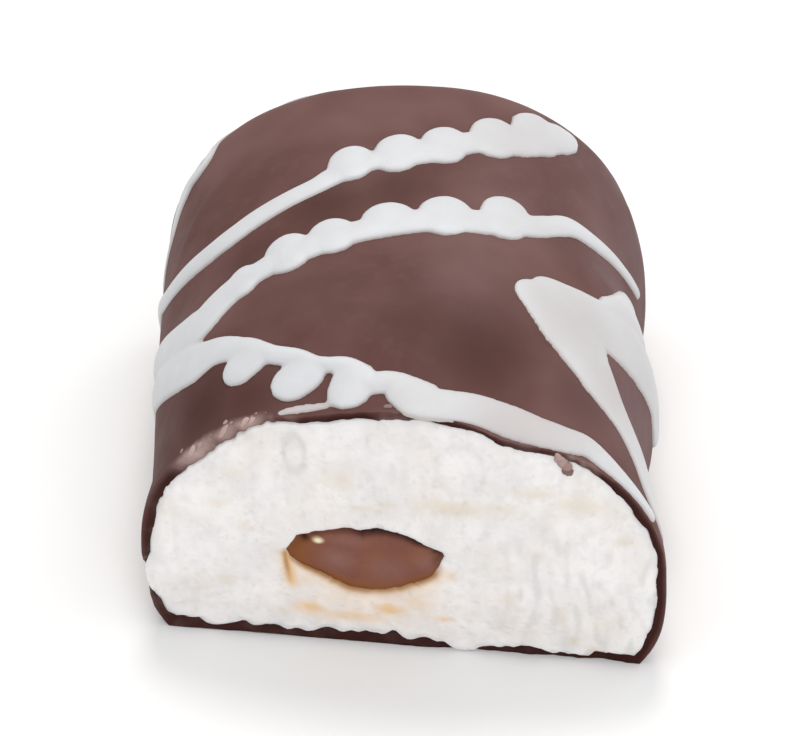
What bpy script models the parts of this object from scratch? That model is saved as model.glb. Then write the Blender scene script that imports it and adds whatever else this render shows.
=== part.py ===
"""Half of a chocolate covered marshmallow bar, cut across with a knife.

A soft marshmallow body with a cocoa filling along it wears a thin chocolate coating, with
white icing drizzled over it. +Y runs along the bar from the cut to the closed end, +X is to
the right of the cut face and +Z is up. The bar rests on Z = 0.
"""

import math

import bmesh
import bpy
from mathutils import Matrix, Vector
from mathutils.bvhtree import BVHTree

MM = 0.001

# The bar over its coating
BODY_HALF_WIDTH = 14.85 * MM
BODY_HEIGHT = 19.0 * MM
BELLY_HEIGHT = 6.5 * MM  # where the section is widest
BAR_LENGTH = 35.0 * MM  # from the cut to the closed end, along the middle
FAR_END_Y = 18.6 * MM
CUT_Y = FAR_END_Y - BAR_LENGTH
CUT_SLANT = math.radians(9.6)  # the knife didn't go straight across

# The section's superellipses above and below the belly
DOME_POWER = 2.2
FOOT_POWER = 3.0
FOOT_OVERRUN = 0.55  # the lower curve is cut off flat by the base

# The closed end
TOP_ROUNDING = 4.5 * MM
BASE_ROUNDING = 1.8 * MM
END_POWER = 2.6
# The rounding is the base's below the belly, and grows to the top's with the height
ROUNDING_SLOPE, ROUNDING_START = 1.5, 0.8

# The knife pressed the soft bar down and out beside the cut
PRESS_DEPTH = 2.0 * MM
PRESS_REACH = 5.0 * MM
RIGHT_SPREAD, LEFT_SPREAD = 1.1 * MM, 0.55 * MM
SPREAD_REACH = 2.2 * MM

# A slow swell along the right side, and the slight taper to the closed end
SWELL_DEPTH = 0.45 * MM
SWELL_LENGTH = 13.0 * MM
SWELL_START = 0.8  # its phase at the cut, in radians
TAPER = 0.4 * MM
TAPER_START_Y = 2.0 * MM

# Layers
COATING = 0.7 * MM
GAP = 0.3 * MM
COATING_BULGE = 0.1 * MM  # the coating hardly swells out of the cut
CUT_BULGE = 0.35 * MM  # the marshmallow swells out of the cut
FILLING_HALF_WIDTH = 4.7 * MM
FILLING_RISE = 2.2 * MM  # from its middle to its top
FILLING_DROP = 2.3 * MM
FILLING_X = -2.1 * MM
FILLING_Z = 6.3 * MM
FILLING_STOP = 6.0 * MM  # how far it ends before the closed end
FILLING_RECESS = 0.25 * MM  # it sits this far back in the cut
FILLING_SIDES = 24
FILLING_POWER = 1.35  # over 1 makes the oval's ends pointed

# The block that stands for what the knife cut away, and the ripple it left in the cut face
KNIFE_BLOCK = Vector((46, 16, 26)) * MM
KNIFE_BLOCK_LOW_Z = -4 * MM
KNIFE_CELLS = 10
CUT_RIPPLE = 0.3  # of the bulge
CUT_RIPPLE_X, CUT_RIPPLE_Z = 1.9 * MM, 1.4 * MM

# Mesh density
SKIN_COLUMNS, SKIN_RINGS, END_RINGS = 46, 17, 6
FINE_COLUMNS, FINE_RINGS, FINE_END_RINGS = 180, 110, 30
BASE_COLUMNS = 4
THREAD_STEP = 0.65 * MM
CAP_WELD = 0.01 * MM
SHARP_EDGE = math.radians(40)

# The icing's cross-section: the place across as a share of the half width, and the rise
THREAD_PROFILE = ((-1.0, 0.0), (-0.62, 0.8), (0.0, 1.0), (0.62, 0.8), (1.0, 0.0))
THREAD_FOOT = (0.62, -0.62)
THREAD_HEIGHT = 0.36 * MM
THREAD_FULLNESS = 0.07  # a thread's height also grows with its half width
THREAD_SINK = 0.4 * MM

# The falling icing folded into lobes. The far edge's lag behind the near edge's.
LOBE_PITCH = 3.15 * MM
LOBE_LAG = 0.3  # of the pitch

# Each thread of icing is laid through guide points: the angle round the section in degrees
# (0 is the right side, 90 the top, 180 the left), the place along Y, the half width, and how
# far the lobes stand out on the far edge and on the edge towards the cut, in millimetres.
# A sixth number is for a thread that crosses the closed end: the share of the way out from
# the axis.
THREADS = {
    "end_thread": (
        (60, 18.6, 0.5, 0, 0, 0.15),
        (95, 18.6, 0.6, 0, 0, 0.55),
        (118, 17.4, 0.6, 0, 0),
        (138, 14.7, 0.6, 0, 0),
        (158, 14.2, 0.65, 0, 0),
        (178, 15.0, 0.6, 0, 0),
        (198, 15.6, 0.4, 0, 0),
    ),
    "far_thread": (
        (198, 10.4, 0.4, 0, 0),
        (176, 7.4, 0.7, 0, 0),
        (158, 4.2, 0.8, 0, 0),
        (140, 2.8, 0.9, 0, 0),
        (126, 3.7, 0.95, 0, 0),
        (112, 4.8, 0.95, 0, 0),
        (104, 5.9, 0.95, 0.4, 0.3),
        (90, 7.5, 1.0, 1.0, 0.8),
        (74, 9.3, 1.0, 1.0, 0.8),
        (62, 11.3, 1.3, 0.9, 0.5),
        (54, 12.7, 2.3, 0, 0),
        (46, 13.6, 1.2, 0, 0),
        (42, 14.2, 0.5, 0, 0),
    ),
    "middle_thread": (
        (198, 3.4, 0.5, 0, 0),
        (178, 1.6, 0.9, 0, 0),
        (164, -1.2, 1.5, 0, 0),
        (150, -2.7, 1.7, 0, 0),
        (132, -2.1, 1.5, 0, 0),
        (122, -1.8, 1.0, 0.5, 0),
        (96, -0.7, 1.0, 1.2, 0.15),
        (72, 0.7, 1.0, 1.2, 0.15),
        (60, 1.9, 1.1, 0.5, 0),
        (47, 3.9, 0.95, 0, 0),
        (37, 3.9, 0.75, 0, 0),
        (19, 5.0, 0.5, 0, 0),
        (-4, 6.6, 0.35, 0, 0),
    ),
    "near_thread": (
        (190, -0.6, 0.5, 0, 0),
        (176, -1.9, 1.2, 0, 0),
        (162, -4.2, 1.7, 0, 0),
        (150, -6.9, 1.1, 0, 0.4),
        (139, -8.1, 0.7, 0.1, 1.3),
        (121, -10.3, 0.65, 0.1, 1.6),
        (103, -13.2, 0.65, 0.1, 1.6),
        (90, -14.8, 0.75, 0.1, 1.0),
        (81, -15.9, 0.95, 0, 0),
        (62, -16.8, 0.95, 0, 0),
        (48, -17.1, 0.8, 0, 0),
        (34, -17.8, 0.55, 0, 0),
        (20, -18.0, 0.35, 0, 0),
    ),
    "near_leg": (
        (62, -4.9, 1.2, 0, 0),
        (53, -6.7, 1.9, 0, 0),
        (44, -9.0, 1.5, 0, 0),
        (36, -11.4, 1.25, 0, 0),
        (28, -14.3, 0.9, 0, 0),
        (18, -16.5, 0.5, 0, 0),
    ),
    "far_leg": (
        (58, -4.7, 1.0, 0, 0),
        (48, -4.6, 2.1, 0, 0),
        (36, -4.0, 2.2, 0, 0),
        (27, -3.3, 1.9, 0, 0),
        (14, -3.1, 1.4, 0, 0),
        (2, -3.0, 0.9, 0, 0),
        (-14, -3.2, 0.45, 0, 0),
    ),
}

# Where the coating broke off at the rim: angle in degrees, then half the length along the
# rim and the depth back from the cut in millimetres
CHIP_THICKNESS = 1.3 * MM
RIM_STEP = math.radians(3)  # the rim's slope at a chip is taken over this much of it
CHIPS = (
    (186, 1.35, 1.0),
    (147, 1.2, 0.5),
    (134, 1.9, 0.8),
    (121, 1.2, 0.4),
    (47, 0.8, 0.4),
    (-24, 0.6, 0.45),
    (-62, 2.6, 0.35),
)

# Each finish: colour and roughness
CHOCOLATE = (0.15, 0.075, 0.067, 1.0), 0.45
MARSHMALLOW = (0.86, 0.83, 0.82, 1.0), 0.75
COCOA = (0.22, 0.095, 0.069, 1.0), 0.4


def clear_scene():
    for obj in list(bpy.data.objects):
        bpy.data.objects.remove(obj)


def new_collection(name):
    collection = bpy.data.collections.new(name)
    bpy.context.scene.collection.children.link(collection)
    return collection


def new_object(name, bm, collection):
    """An object from a bmesh."""
    mesh = bpy.data.meshes.new(name)
    bm.to_mesh(mesh)
    bm.free()
    obj = bpy.data.objects.new(name, mesh)
    collection.objects.link(obj)
    return obj


def as_cutter(obj):
    obj.hide_render = True
    obj.display_type = "WIRE"
    return obj


def material(name, colour, roughness):
    made = bpy.data.materials.new(name)
    made.use_nodes = True
    shader = made.node_tree.nodes["Principled BSDF"]
    shader.inputs["Base Color"].default_value = colour
    shader.inputs["Roughness"].default_value = roughness
    shader.inputs["Metallic"].default_value = 0.0
    return made


def cut_y(x):
    """Where the knife's plane is at this X."""
    return CUT_Y - x * math.tan(CUT_SLANT)


def section_point(angle, inset):
    """X and Z of the loaf-shaped section at an angle from +X, this far inside the skin."""
    across, up = math.cos(angle), math.sin(angle)
    if up >= 0:
        power = 2 / DOME_POWER
        z = BELLY_HEIGHT + (BODY_HEIGHT - inset - BELLY_HEIGHT) * up**power
    else:
        power = 2 / FOOT_POWER
        drop = (BELLY_HEIGHT - inset) * (1 + FOOT_OVERRUN) * (-up) ** power
        z = max(BELLY_HEIGHT - drop, inset)
    x = (BODY_HALF_WIDTH - inset) * math.copysign(abs(across) ** power, across)
    return x, z


def shaped(angle, x, y, z):
    """A point of the straight bar, moved by the knife's pressure, the swell and the taper."""
    outwards = abs(math.cos(angle)) * x / BODY_HALF_WIDTH
    behind = max(y - cut_y(x), 0.0)
    spread = RIGHT_SPREAD if x > 0 else LEFT_SPREAD
    shift = spread * math.exp(-((behind / SPREAD_REACH) ** 2))
    if x > 0:
        phase = 2 * math.pi * (y - CUT_Y) / SWELL_LENGTH + SWELL_START
        shift += SWELL_DEPTH * math.sin(phase)
    tapered = min(max((y - TAPER_START_Y) / (FAR_END_Y - TAPER_START_Y), 0.0), 1.0)
    shift -= TAPER * tapered**2
    if z > BELLY_HEIGHT:
        press = PRESS_DEPTH * math.exp(-((behind / PRESS_REACH) ** 2))
        z -= press * (z - BELLY_HEIGHT) / (BODY_HEIGHT - BELLY_HEIGHT)
    return Vector((x + shift * outwards, y, z))


def skin_point(angle, along, turn, inset):
    """A point of the skin: along is 0 well before the cut and 1 where the closed end starts
    to round, and turn goes from 0 there to a right angle at the end's middle."""
    upness = min(max(ROUNDING_SLOPE * math.sin(angle) + ROUNDING_START, 0.0), 1.0)
    rounding = BASE_ROUNDING + (TOP_ROUNDING - BASE_ROUNDING) * upness - inset
    start, end = CUT_Y - BODY_HALF_WIDTH / 2, FAR_END_Y - inset
    y = start + along * (end - rounding - start)
    y += rounding * math.sin(turn) ** (2 / END_POWER)
    shrink = max(math.cos(turn), 0.0) ** (2 / END_POWER)
    x, z = section_point(angle, inset)
    point = shaped(angle, x, y, z)
    return Vector((point.x * shrink, y, BELLY_HEIGHT + (point.z - BELLY_HEIGHT) * shrink))


def section_angles(columns):
    """Angles from the right foot over the top to the left foot, then back along the base."""
    foot = math.asin((1 / (1 + FOOT_OVERRUN)) ** (FOOT_POWER / 2))
    over = [-foot + (math.pi + 2 * foot) * i / (columns - 1) for i in range(columns)]
    left = over[-1]
    base = 2 * math.pi - foot - left
    under = [left + base * (i + 1) / (BASE_COLUMNS + 1) for i in range(BASE_COLUMNS)]
    return over + under


def loaf_mesh(inset, columns, rings, end_rings):
    """Vertices and faces of the bar's whole shape, closed in front of the cut."""
    angles = section_angles(columns)
    stations = [(i / rings, 0.0) for i in range(rings + 1)]
    stations += [(1.0, math.pi / 2 * (i + 1) / (end_rings + 1)) for i in range(end_rings)]
    points = [
        skin_point(angle, along, turn, inset)
        for along, turn in stations
        for angle in angles
    ]
    n = len(angles)
    faces = [
        (r * n + c, (r + 1) * n + c, (r + 1) * n + (c + 1) % n, r * n + (c + 1) % n)
        for r in range(len(stations) - 1)
        for c in range(n)
    ]
    last = (len(stations) - 1) * n
    points.append(skin_point(0.0, 1.0, math.pi / 2, inset))
    faces += [(last + (c + 1) % n, last + c, len(points) - 1) for c in range(n)]
    faces.append(tuple(range(n)))
    return points, faces


def loaf(name, inset, collection):
    points, faces = loaf_mesh(inset, SKIN_COLUMNS, SKIN_RINGS, END_RINGS)
    bm = bmesh.new()
    verts = [bm.verts.new(point) for point in points]
    for face in faces:
        bm.faces.new([verts[i] for i in face])
    bmesh.ops.recalc_face_normals(bm, faces=bm.faces)
    return new_object(name, bm, collection)


def smooth_skin():
    """A fine copy of the outer skin, on which the icing is laid."""
    points, faces = loaf_mesh(0.0, FINE_COLUMNS, FINE_RINGS, FINE_END_RINGS)
    return BVHTree.FromPolygons(points, faces)


def guide_point(angle, y, share=1.0):
    """The place of a thread's guide point, near the skin."""
    x, z = section_point(angle, 0.0)
    point = shaped(angle, x, y, z)
    return Vector((point.x * share, y, BELLY_HEIGHT + (point.z - BELLY_HEIGHT) * share))


def between(a, b, c, d, t):
    """Catmull-Rom interpolation from b to c."""
    return 0.5 * (
        2 * b + (c - a) * t + (2 * a - 5 * b + 4 * c - d) * t * t
        + (3 * b - a - 3 * c + d) * t**3
    )


def thread_samples(guides):
    """Place, half width and lobe sizes at even steps along a thread."""
    places = [guide_point(math.radians(g[0]), g[1] * MM, *g[5:]) for g in guides]
    sizes = [Vector(g[2:5]) * MM for g in guides]
    samples = []
    for i in range(len(guides) - 1):
        before, after = max(i - 1, 0), min(i + 2, len(guides) - 1)
        steps = max(round((places[i + 1] - places[i]).length / THREAD_STEP), 1)
        for k in range(steps):
            t = k / steps
            place = between(places[before], places[i], places[i + 1], places[after], t)
            samples.append((place, sizes[i].lerp(sizes[i + 1], t)))
    samples.append((places[-1], sizes[-1]))
    return samples


def lobe(length, lag):
    """From 0 between two lobes to 1 at the middle of one."""
    return abs(math.sin(math.pi * (length / LOBE_PITCH - lag)))


def lay_thread(name, guides, skin, collection):
    """One thread of icing as a closed bead that follows the skin."""
    samples = thread_samples(guides)
    last = len(samples) - 1
    length = 0.0
    bm = bmesh.new()
    rings = []
    for i, (place, (half_width, far_lobe, near_lobe)) in enumerate(samples):
        length += (place - samples[max(i - 1, 0)][0]).length
        ahead = samples[min(i + 1, last)][0] - samples[max(i - 1, 0)][0]
        place, normal = skin.find_nearest(place)[:2]
        aside = ahead.cross(normal).normalized()
        far_width = half_width + far_lobe * lobe(length, LOBE_LAG)
        near_width = half_width + near_lobe * lobe(length, 0.0)
        height = THREAD_HEIGHT + THREAD_FULLNESS * half_width
        profile = [(share, height * rise) for share, rise in THREAD_PROFILE]
        profile += [(share, -THREAD_SINK) for share in THREAD_FOOT]
        ring = []
        for share, rise in profile:
            width = near_width if share > 0 else far_width
            point, out = skin.find_nearest(place + aside * width * share)[:2]
            ring.append(bm.verts.new(point + out * rise))
        rings.append(ring)
    for ring, following in zip(rings, rings[1:]):
        for i in range(len(ring)):
            j = (i + 1) % len(ring)
            bm.faces.new((ring[i], ring[j], following[j], following[i]))
    bm.faces.new(rings[0])
    bm.faces.new(rings[-1])
    bmesh.ops.triangulate(bm, faces=bm.faces)
    bmesh.ops.recalc_face_normals(bm, faces=bm.faces)
    return new_object(name, bm, collection)


def knife_cutter(name, offset, bulge, collection):
    """A block that takes away everything in front of the cut, set back by offset and with
    its face hollowed so that what it leaves stands out by bulge in the middle."""
    middle = Vector((0, -KNIFE_BLOCK.y / 2, KNIFE_BLOCK.z / 2 + KNIFE_BLOCK_LOW_Z))
    bm = bmesh.new()
    bmesh.ops.create_cube(bm, size=1.0)
    bmesh.ops.scale(bm, vec=KNIFE_BLOCK, verts=bm.verts)
    bmesh.ops.translate(bm, vec=middle, verts=bm.verts)
    bmesh.ops.subdivide_edges(
        bm,
        edges=[e for e in bm.edges if all(v.co.y > middle.y for v in e.verts)],
        cuts=KNIFE_CELLS - 1,
        use_grid_fill=True,
    )
    for vert in bm.verts:
        if vert.co.y > middle.y:
            off_centre = (vert.co.x / BODY_HALF_WIDTH) ** 2
            off_centre += ((vert.co.z - BELLY_HEIGHT) / (BODY_HEIGHT - BELLY_HEIGHT)) ** 2
            ripple = math.sin(vert.co.x / CUT_RIPPLE_X) * math.cos(vert.co.z / CUT_RIPPLE_Z)
            vert.co.y += offset - bulge * (max(1 - off_centre, 0) + CUT_RIPPLE * ripple)
    bm.transform(Matrix.Translation((0, CUT_Y, 0)) @ Matrix.Rotation(-CUT_SLANT, 4, "Z"))
    return new_object(name, bm, collection)


def chip_cutter(angle, half_length, depth, collection):
    """A rough flattened ball on the rim, where the coating broke away."""
    x, z = section_point(angle, 0.0)
    place = shaped(angle, x, cut_y(x), z)
    ahead = Vector(section_point(angle + RIM_STEP, 0.0)) - Vector((x, z))
    tilt = math.atan2(ahead.y, ahead.x)
    bm = bmesh.new()
    bmesh.ops.create_icosphere(bm, subdivisions=2, radius=1.0)
    bmesh.ops.scale(bm, vec=(half_length, depth, CHIP_THICKNESS), verts=bm.verts)
    bm.transform(Matrix.Translation(place) @ Matrix.Rotation(-tilt, 4, "Y"))
    return new_object(f"chip_{round(math.degrees(angle))}", bm, collection)


def lens_bar(name, margin, collection):
    """The filling's long bar with its lens-shaped section, grown by a margin."""
    start = CUT_Y - KNIFE_BLOCK.y / 2
    end = FAR_END_Y - FILLING_STOP + margin
    curve = bpy.data.curves.new(name, "CURVE")
    curve.dimensions = "2D"
    curve.fill_mode = "BOTH"
    curve.extrude = (end - start) / 2
    spline = curve.splines.new("POLY")
    spline.points.add(FILLING_SIDES - 1)
    for i, point in enumerate(spline.points):
        angle = 2 * math.pi * i / FILLING_SIDES
        up = math.sin(angle)
        rise = (FILLING_RISE if up > 0 else FILLING_DROP) + margin
        x = (FILLING_HALF_WIDTH + margin) * math.cos(angle)
        point.co = (x, rise * math.copysign(abs(up) ** FILLING_POWER, up), 0, 1)
    spline.use_cyclic_u = True
    obj = bpy.data.objects.new(name, curve)
    collection.objects.link(obj)
    obj.rotation_euler = (math.pi / 2, 0, 0)
    obj.location = (FILLING_X, (start + end) / 2, FILLING_Z)
    return as_mesh(obj, collection, weld=CAP_WELD)


def as_mesh(obj, collection, weld=0.0):
    """Replaces an object with a mesh of what it shows, a curve's loose caps welded."""
    bpy.context.view_layer.update()
    graph = bpy.context.evaluated_depsgraph_get()
    name, place = obj.name, obj.matrix_world.copy()
    mesh = bpy.data.meshes.new_from_object(obj.evaluated_get(graph))
    bpy.data.objects.remove(obj)
    bm = bmesh.new()
    bm.from_mesh(mesh)
    bm.transform(place)
    if weld:
        bmesh.ops.remove_doubles(bm, verts=bm.verts, dist=weld)
        bmesh.ops.recalc_face_normals(bm, faces=bm.faces)
    bpy.data.meshes.remove(mesh)
    return new_object(name, bm, collection)


def join_all(obj, collection):
    """Adds a union with all the objects of a collection."""
    modifier = obj.modifiers.new(f"union {collection.name}", "BOOLEAN")
    modifier.operation = "UNION"
    modifier.solver = "MANIFOLD"
    modifier.operand_type = "COLLECTION"
    modifier.collection = collection


def cut(obj, cutter):
    modifier = obj.modifiers.new(f"cut {cutter.name}", "BOOLEAN")
    modifier.operation = "DIFFERENCE"
    modifier.object = as_cutter(cutter)


def finish_node(obj, finish):
    obj.data.materials.clear()
    obj.data.materials.append(finish)
    obj.data.shade_smooth()
    obj.data.set_sharp_from_angle(angle=SHARP_EDGE)


def build_coating(parts, cutters):
    """The chocolate skin, with the icing fused to it, hollowed and cut open."""
    threads = new_collection("icing_threads")
    skin = smooth_skin()
    for name, guides in THREADS.items():
        lay_thread(name, guides, skin, threads)
    coating = loaf("chocolate_coating", 0.0, parts)
    join_all(coating, threads)
    joined = as_mesh(coating, parts)
    for thread in list(threads.objects):
        bpy.data.objects.remove(thread)
    bpy.data.collections.remove(threads)
    cut(joined, loaf("cavity", COATING, cutters))
    cut(joined, knife_cutter("knife_through_coating", 0.0, COATING_BULGE, cutters))
    for angle, half_length, depth in CHIPS:
        cut(joined, chip_cutter(math.radians(angle), half_length * MM, depth * MM, cutters))
    finish_node(joined, material("chocolate", *CHOCOLATE))


def build_marshmallow(parts, cutters):
    body = loaf("marshmallow", COATING + GAP, parts)
    cut(body, lens_bar("filling_channel", GAP, cutters))
    cut(body, knife_cutter("knife_through_marshmallow", 0.0, CUT_BULGE, cutters))
    finish_node(body, material("marshmallow", *MARSHMALLOW))


def build_filling(parts, cutters):
    filling = lens_bar("cocoa_filling", 0.0, parts)
    cut(filling, knife_cutter("knife_through_filling", FILLING_RECESS, 0.0, cutters))
    finish_node(filling, material("cocoa", *COCOA))


def main():
    clear_scene()
    parts = new_collection("chocolate_covered_marshmallow")
    cutters = new_collection("cutters")
    build_coating(parts, cutters)
    build_marshmallow(parts, cutters)
    build_filling(parts, cutters)


main()
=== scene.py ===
"""The looks of half a chocolate covered marshmallow bar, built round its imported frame.

Shapes are worked out in millimetres and scaled when a mesh is made. +Y runs along the bar
from the cut to the closed end, +X is to the right of the cut face and +Z is up.
"""

import math

import bmesh
import bpy
import numpy as np
from mathutils import Matrix, Vector, noise
from mathutils.bvhtree import BVHTree


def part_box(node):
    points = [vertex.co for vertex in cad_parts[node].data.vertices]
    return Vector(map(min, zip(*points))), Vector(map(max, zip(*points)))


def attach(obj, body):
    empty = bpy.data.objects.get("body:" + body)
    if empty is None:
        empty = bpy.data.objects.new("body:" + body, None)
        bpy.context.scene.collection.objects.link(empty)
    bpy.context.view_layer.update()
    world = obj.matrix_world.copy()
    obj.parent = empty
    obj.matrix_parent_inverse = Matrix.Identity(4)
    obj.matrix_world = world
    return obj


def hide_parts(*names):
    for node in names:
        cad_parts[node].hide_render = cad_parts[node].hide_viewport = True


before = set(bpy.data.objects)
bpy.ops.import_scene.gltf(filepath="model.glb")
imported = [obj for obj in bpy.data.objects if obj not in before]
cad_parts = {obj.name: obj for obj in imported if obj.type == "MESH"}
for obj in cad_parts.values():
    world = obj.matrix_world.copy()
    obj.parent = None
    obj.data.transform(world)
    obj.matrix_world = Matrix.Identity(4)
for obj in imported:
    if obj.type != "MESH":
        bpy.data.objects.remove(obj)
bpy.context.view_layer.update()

MM = 0.001


def node_box(name):
    """Lowest and highest corner of a CAD node in millimetres."""
    return [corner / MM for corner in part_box(name)]


# The bar over its coating. The CAD's marshmallow lies one layer inside the skin.
CAD_LAYER = 1.0
CAD_BODY_HIGH = node_box("marshmallow")[1]
BODY_HALF_WIDTH = 14.71
BODY_HEIGHT = CAD_BODY_HIGH.z + CAD_LAYER
BODY_LENGTH = 35.0
BELLY_HEIGHT = 6.5
FAR_END_Y = CAD_BODY_HIGH.y + CAD_LAYER
CUT_Y = FAR_END_Y - BODY_LENGTH
CUT_SLOPE = math.tan(math.radians(9.6))

# The section's superellipses above and below the belly, and how soft its foot corner is
DOME_POWER, FOOT_POWER = 2.2, 3.0
FOOT_OVERRUN = 0.55
FOOT_SOFTNESS = 0.35
BASE_INSET_POWER = 3.0  # keeps what is inside the skin in step with it along the base

# The closed end
TOP_ROUNDING, BASE_ROUNDING = 4.5, 1.8
ROUNDING_SLOPE, ROUNDING_START = 1.5, 0.8
END_POWER = 2.6

# The knife's pressure, the swell along the right side and the taper
PRESS_DEPTH, PRESS_REACH = 2.0, 5.0
RIGHT_SPREAD, LEFT_SPREAD, SPREAD_REACH = 1.1, 0.52, 2.2
SWELL_DEPTH, SWELL_LENGTH, SWELL_START = 0.45, 13.0, 0.8
TAPER, TAPER_START_Y = 0.4, 2.0

# Where the knife pressed deeper: angle and half width in degrees, depth, reach along Y
DENTS = ((66, 10, 0.75, 4.0), (108, 13, 0.4, 4.0), (144, 13, 0.6, 4.0))
# Where the right side bulges: angle and half width in degrees, Y and reach along it, height
SIDE_BULGE = (1, 17, -4.4, 2.3, 0.2)
# How far the left side's foot is pushed out at the cut, and its shoulder in, and the reach
LEFT_LEAN, LEAN_REACH = 0.32, 6.0

# The filling's outline at the cut, in X and Z, anticlockwise from its right end
FILLING_OUTLINE = (
    (2.6, 6.95), (2.5, 7.2), (2.0, 7.4), (1.4, 7.65), (0.8, 8.0), (0.1, 8.25), (-0.8, 8.4),
    (-2.2, 8.2), (-3.5, 8.3), (-4.2, 8.1), (-5.2, 7.85), (-5.95, 7.6), (-6.2, 7.15),
    (-6.6, 6.5), (-6.4, 6.0), (-5.9, 5.65), (-5.2, 5.3), (-4.6, 5.05), (-4.0, 4.75),
    (-3.5, 4.45), (-2.9, 4.2), (-2.2, 4.1), (-1.4, 4.15), (-0.4, 4.35), (0.4, 4.65),
    (1.1, 4.95), (1.9, 5.45), (2.15, 5.85), (2.4, 6.4),
)
FILLING_CENTRE = (-1.9, 6.2)
FILLING_END_Y = node_box("cocoa_filling")[1].y

NOISE_STEPS = (3.7, 7.1, 1.3)  # how far the next seed's noise lies away
TABLE_SHIFT = 40  # lifts the tables' first angle, -32, over 0
BACK_CROWDING = 1.6  # over 1 crowds the rings behind the cut near it


def smooth_max(value, floor, softness):
    """The larger of a value and a floor, rounded where they meet."""
    above = value - floor
    rounded = above + np.sqrt(above**2 + softness**2)
    return floor + 0.5 * (rounded - softness * np.exp(-np.abs(above) / softness))


def bell(distance, reach):
    """1 in the middle, falling off smoothly over the reach."""
    return np.exp(-((distance / reach) ** 2))


def ramp(value, start, length):
    """0 up to the start, rising to 1 over the length."""
    return np.clip((value - start) / length, 0, 1)


def cut_y(x):
    """Where the knife's plane is at this X."""
    return CUT_Y - x * CUT_SLOPE


def section(angle, inset=0.0):
    """X and Z of the section at an angle from +X, this far inside the skin."""
    across, up = np.cos(angle), np.sin(angle)
    over = up >= 0
    power = np.where(over, 2 / DOME_POWER, 2 / FOOT_POWER)
    reach = np.abs(up) ** power
    dome = BELLY_HEIGHT + (BODY_HEIGHT - inset - BELLY_HEIGHT) * reach
    foot = BELLY_HEIGHT - (BELLY_HEIGHT - inset) * (1 + FOOT_OVERRUN) * reach
    z = np.where(over, dome, smooth_max(foot, inset, FOOT_SOFTNESS))
    far = np.abs(across)
    narrower = inset * far ** np.where(over, power, BASE_INSET_POWER)
    return np.sign(across) * (BODY_HALF_WIDTH * far**power - narrower), z


def shaped(angle, x, y, z):
    """The section, moved by the knife's pressure, the swell and the taper."""
    outwards = np.abs(np.cos(angle)) * x / BODY_HALF_WIDTH
    behind = np.maximum(y - cut_y(x), 0)
    shift = np.where(x > 0, RIGHT_SPREAD, LEFT_SPREAD) * bell(behind, SPREAD_REACH)
    phase = 2 * math.pi * (y - CUT_Y) / SWELL_LENGTH + SWELL_START
    shift += np.where(x > 0, SWELL_DEPTH * np.sin(phase), 0)
    shift -= TAPER * ramp(y, TAPER_START_Y, FAR_END_Y - TAPER_START_Y) ** 2
    at, wide, middle, reach, high = SIDE_BULGE
    bulge = high * bell(np.degrees(angle) - at, wide) * bell(y - middle, reach)
    shift += np.where(x > 0, bulge, 0)
    lean = LEFT_LEAN * np.clip(1 - z / BELLY_HEIGHT, -1, 1) * bell(behind, LEAN_REACH)
    shift += np.where(x < 0, lean, 0)
    press = PRESS_DEPTH * bell(behind, PRESS_REACH)
    for at, wide, deep, reach in DENTS:
        press += deep * bell(np.degrees(angle) - at, wide) * bell(behind, reach)
    high = np.maximum(z - BELLY_HEIGHT, 0)
    return x + shift * outwards, z - press * high / (BODY_HEIGHT - BELLY_HEIGHT)


def skin(angle, y, inset=0.0):
    """Places on the skin where the bar is straight."""
    x, z = section(angle, inset)
    x, z = shaped(angle, x, y, z)
    return np.stack(np.broadcast_arrays(x, y, z), -1)


def end_rounding(angle, inset):
    """How far from the closed end the rounding starts."""
    upness = np.clip(ROUNDING_SLOPE * np.sin(angle) + ROUNDING_START, 0, 1)
    return BASE_ROUNDING + (TOP_ROUNDING - BASE_ROUNDING) * upness - inset


def closed_end(angle, turn, inset=0.0):
    """Places on the rounded end, where turn is a right angle at its middle."""
    rounding = end_rounding(angle, inset)
    y = FAR_END_Y - inset - rounding * (1 - np.sin(turn) ** (2 / END_POWER))
    shrink = max(math.cos(turn), 0.0) ** (2 / END_POWER)
    place = skin(angle, y, inset)
    place[:, 0] *= shrink
    place[:, 2] = BELLY_HEIGHT + (place[:, 2] - BELLY_HEIGHT) * shrink
    return place


def end_rings(angles, count, inset=0.0):
    """Rings over the closed end, from its edge inwards."""
    turns = np.linspace(0, math.pi / 2, count + 2)[1:-1]
    return [closed_end(angles, turn, inset) for turn in turns]


def back_shares(count):
    """Shares of the way back from the cut, closer together near it."""
    return np.linspace(0, 1, count + 1)[1:] ** BACK_CROWDING


def section_angles(columns, base_columns):
    """Angles from the right foot over the top to the left foot, then along the base."""
    foot = math.asin((1 / (1 + FOOT_OVERRUN)) ** (FOOT_POWER / 2))
    over = np.linspace(-foot, math.pi + foot, columns)
    half = math.cos(foot) ** (2 / FOOT_POWER)
    across = np.linspace(-half, half, base_columns + 2)[1:-1]
    under = 2 * math.pi - np.arccos(np.sign(across) * np.abs(across) ** (FOOT_POWER / 2))
    return np.concatenate([over, under])


def by_angle(table, angles):
    """A table of values at angles in degrees, read at other angles."""
    at, value = np.array(table).T
    return np.interp((np.degrees(angles) + TABLE_SHIFT) % 360, at + TABLE_SHIFT, value)


def noise_at(places, size, seed):
    """Smooth noise from -1 to 1, with lumps of this size in millimetres."""
    shift = Vector([seed * step for step in NOISE_STEPS])
    return np.array([noise.noise(Vector(place) / size + shift) for place in places])


def layered(places, *layers):
    """Layers of noise: strength, lump size, squeeze along the second axis, and seed."""
    return sum(
        strength * noise_at(places * (1, squeeze, 1), size, seed)
        for strength, size, squeeze, seed in layers
    )


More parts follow.
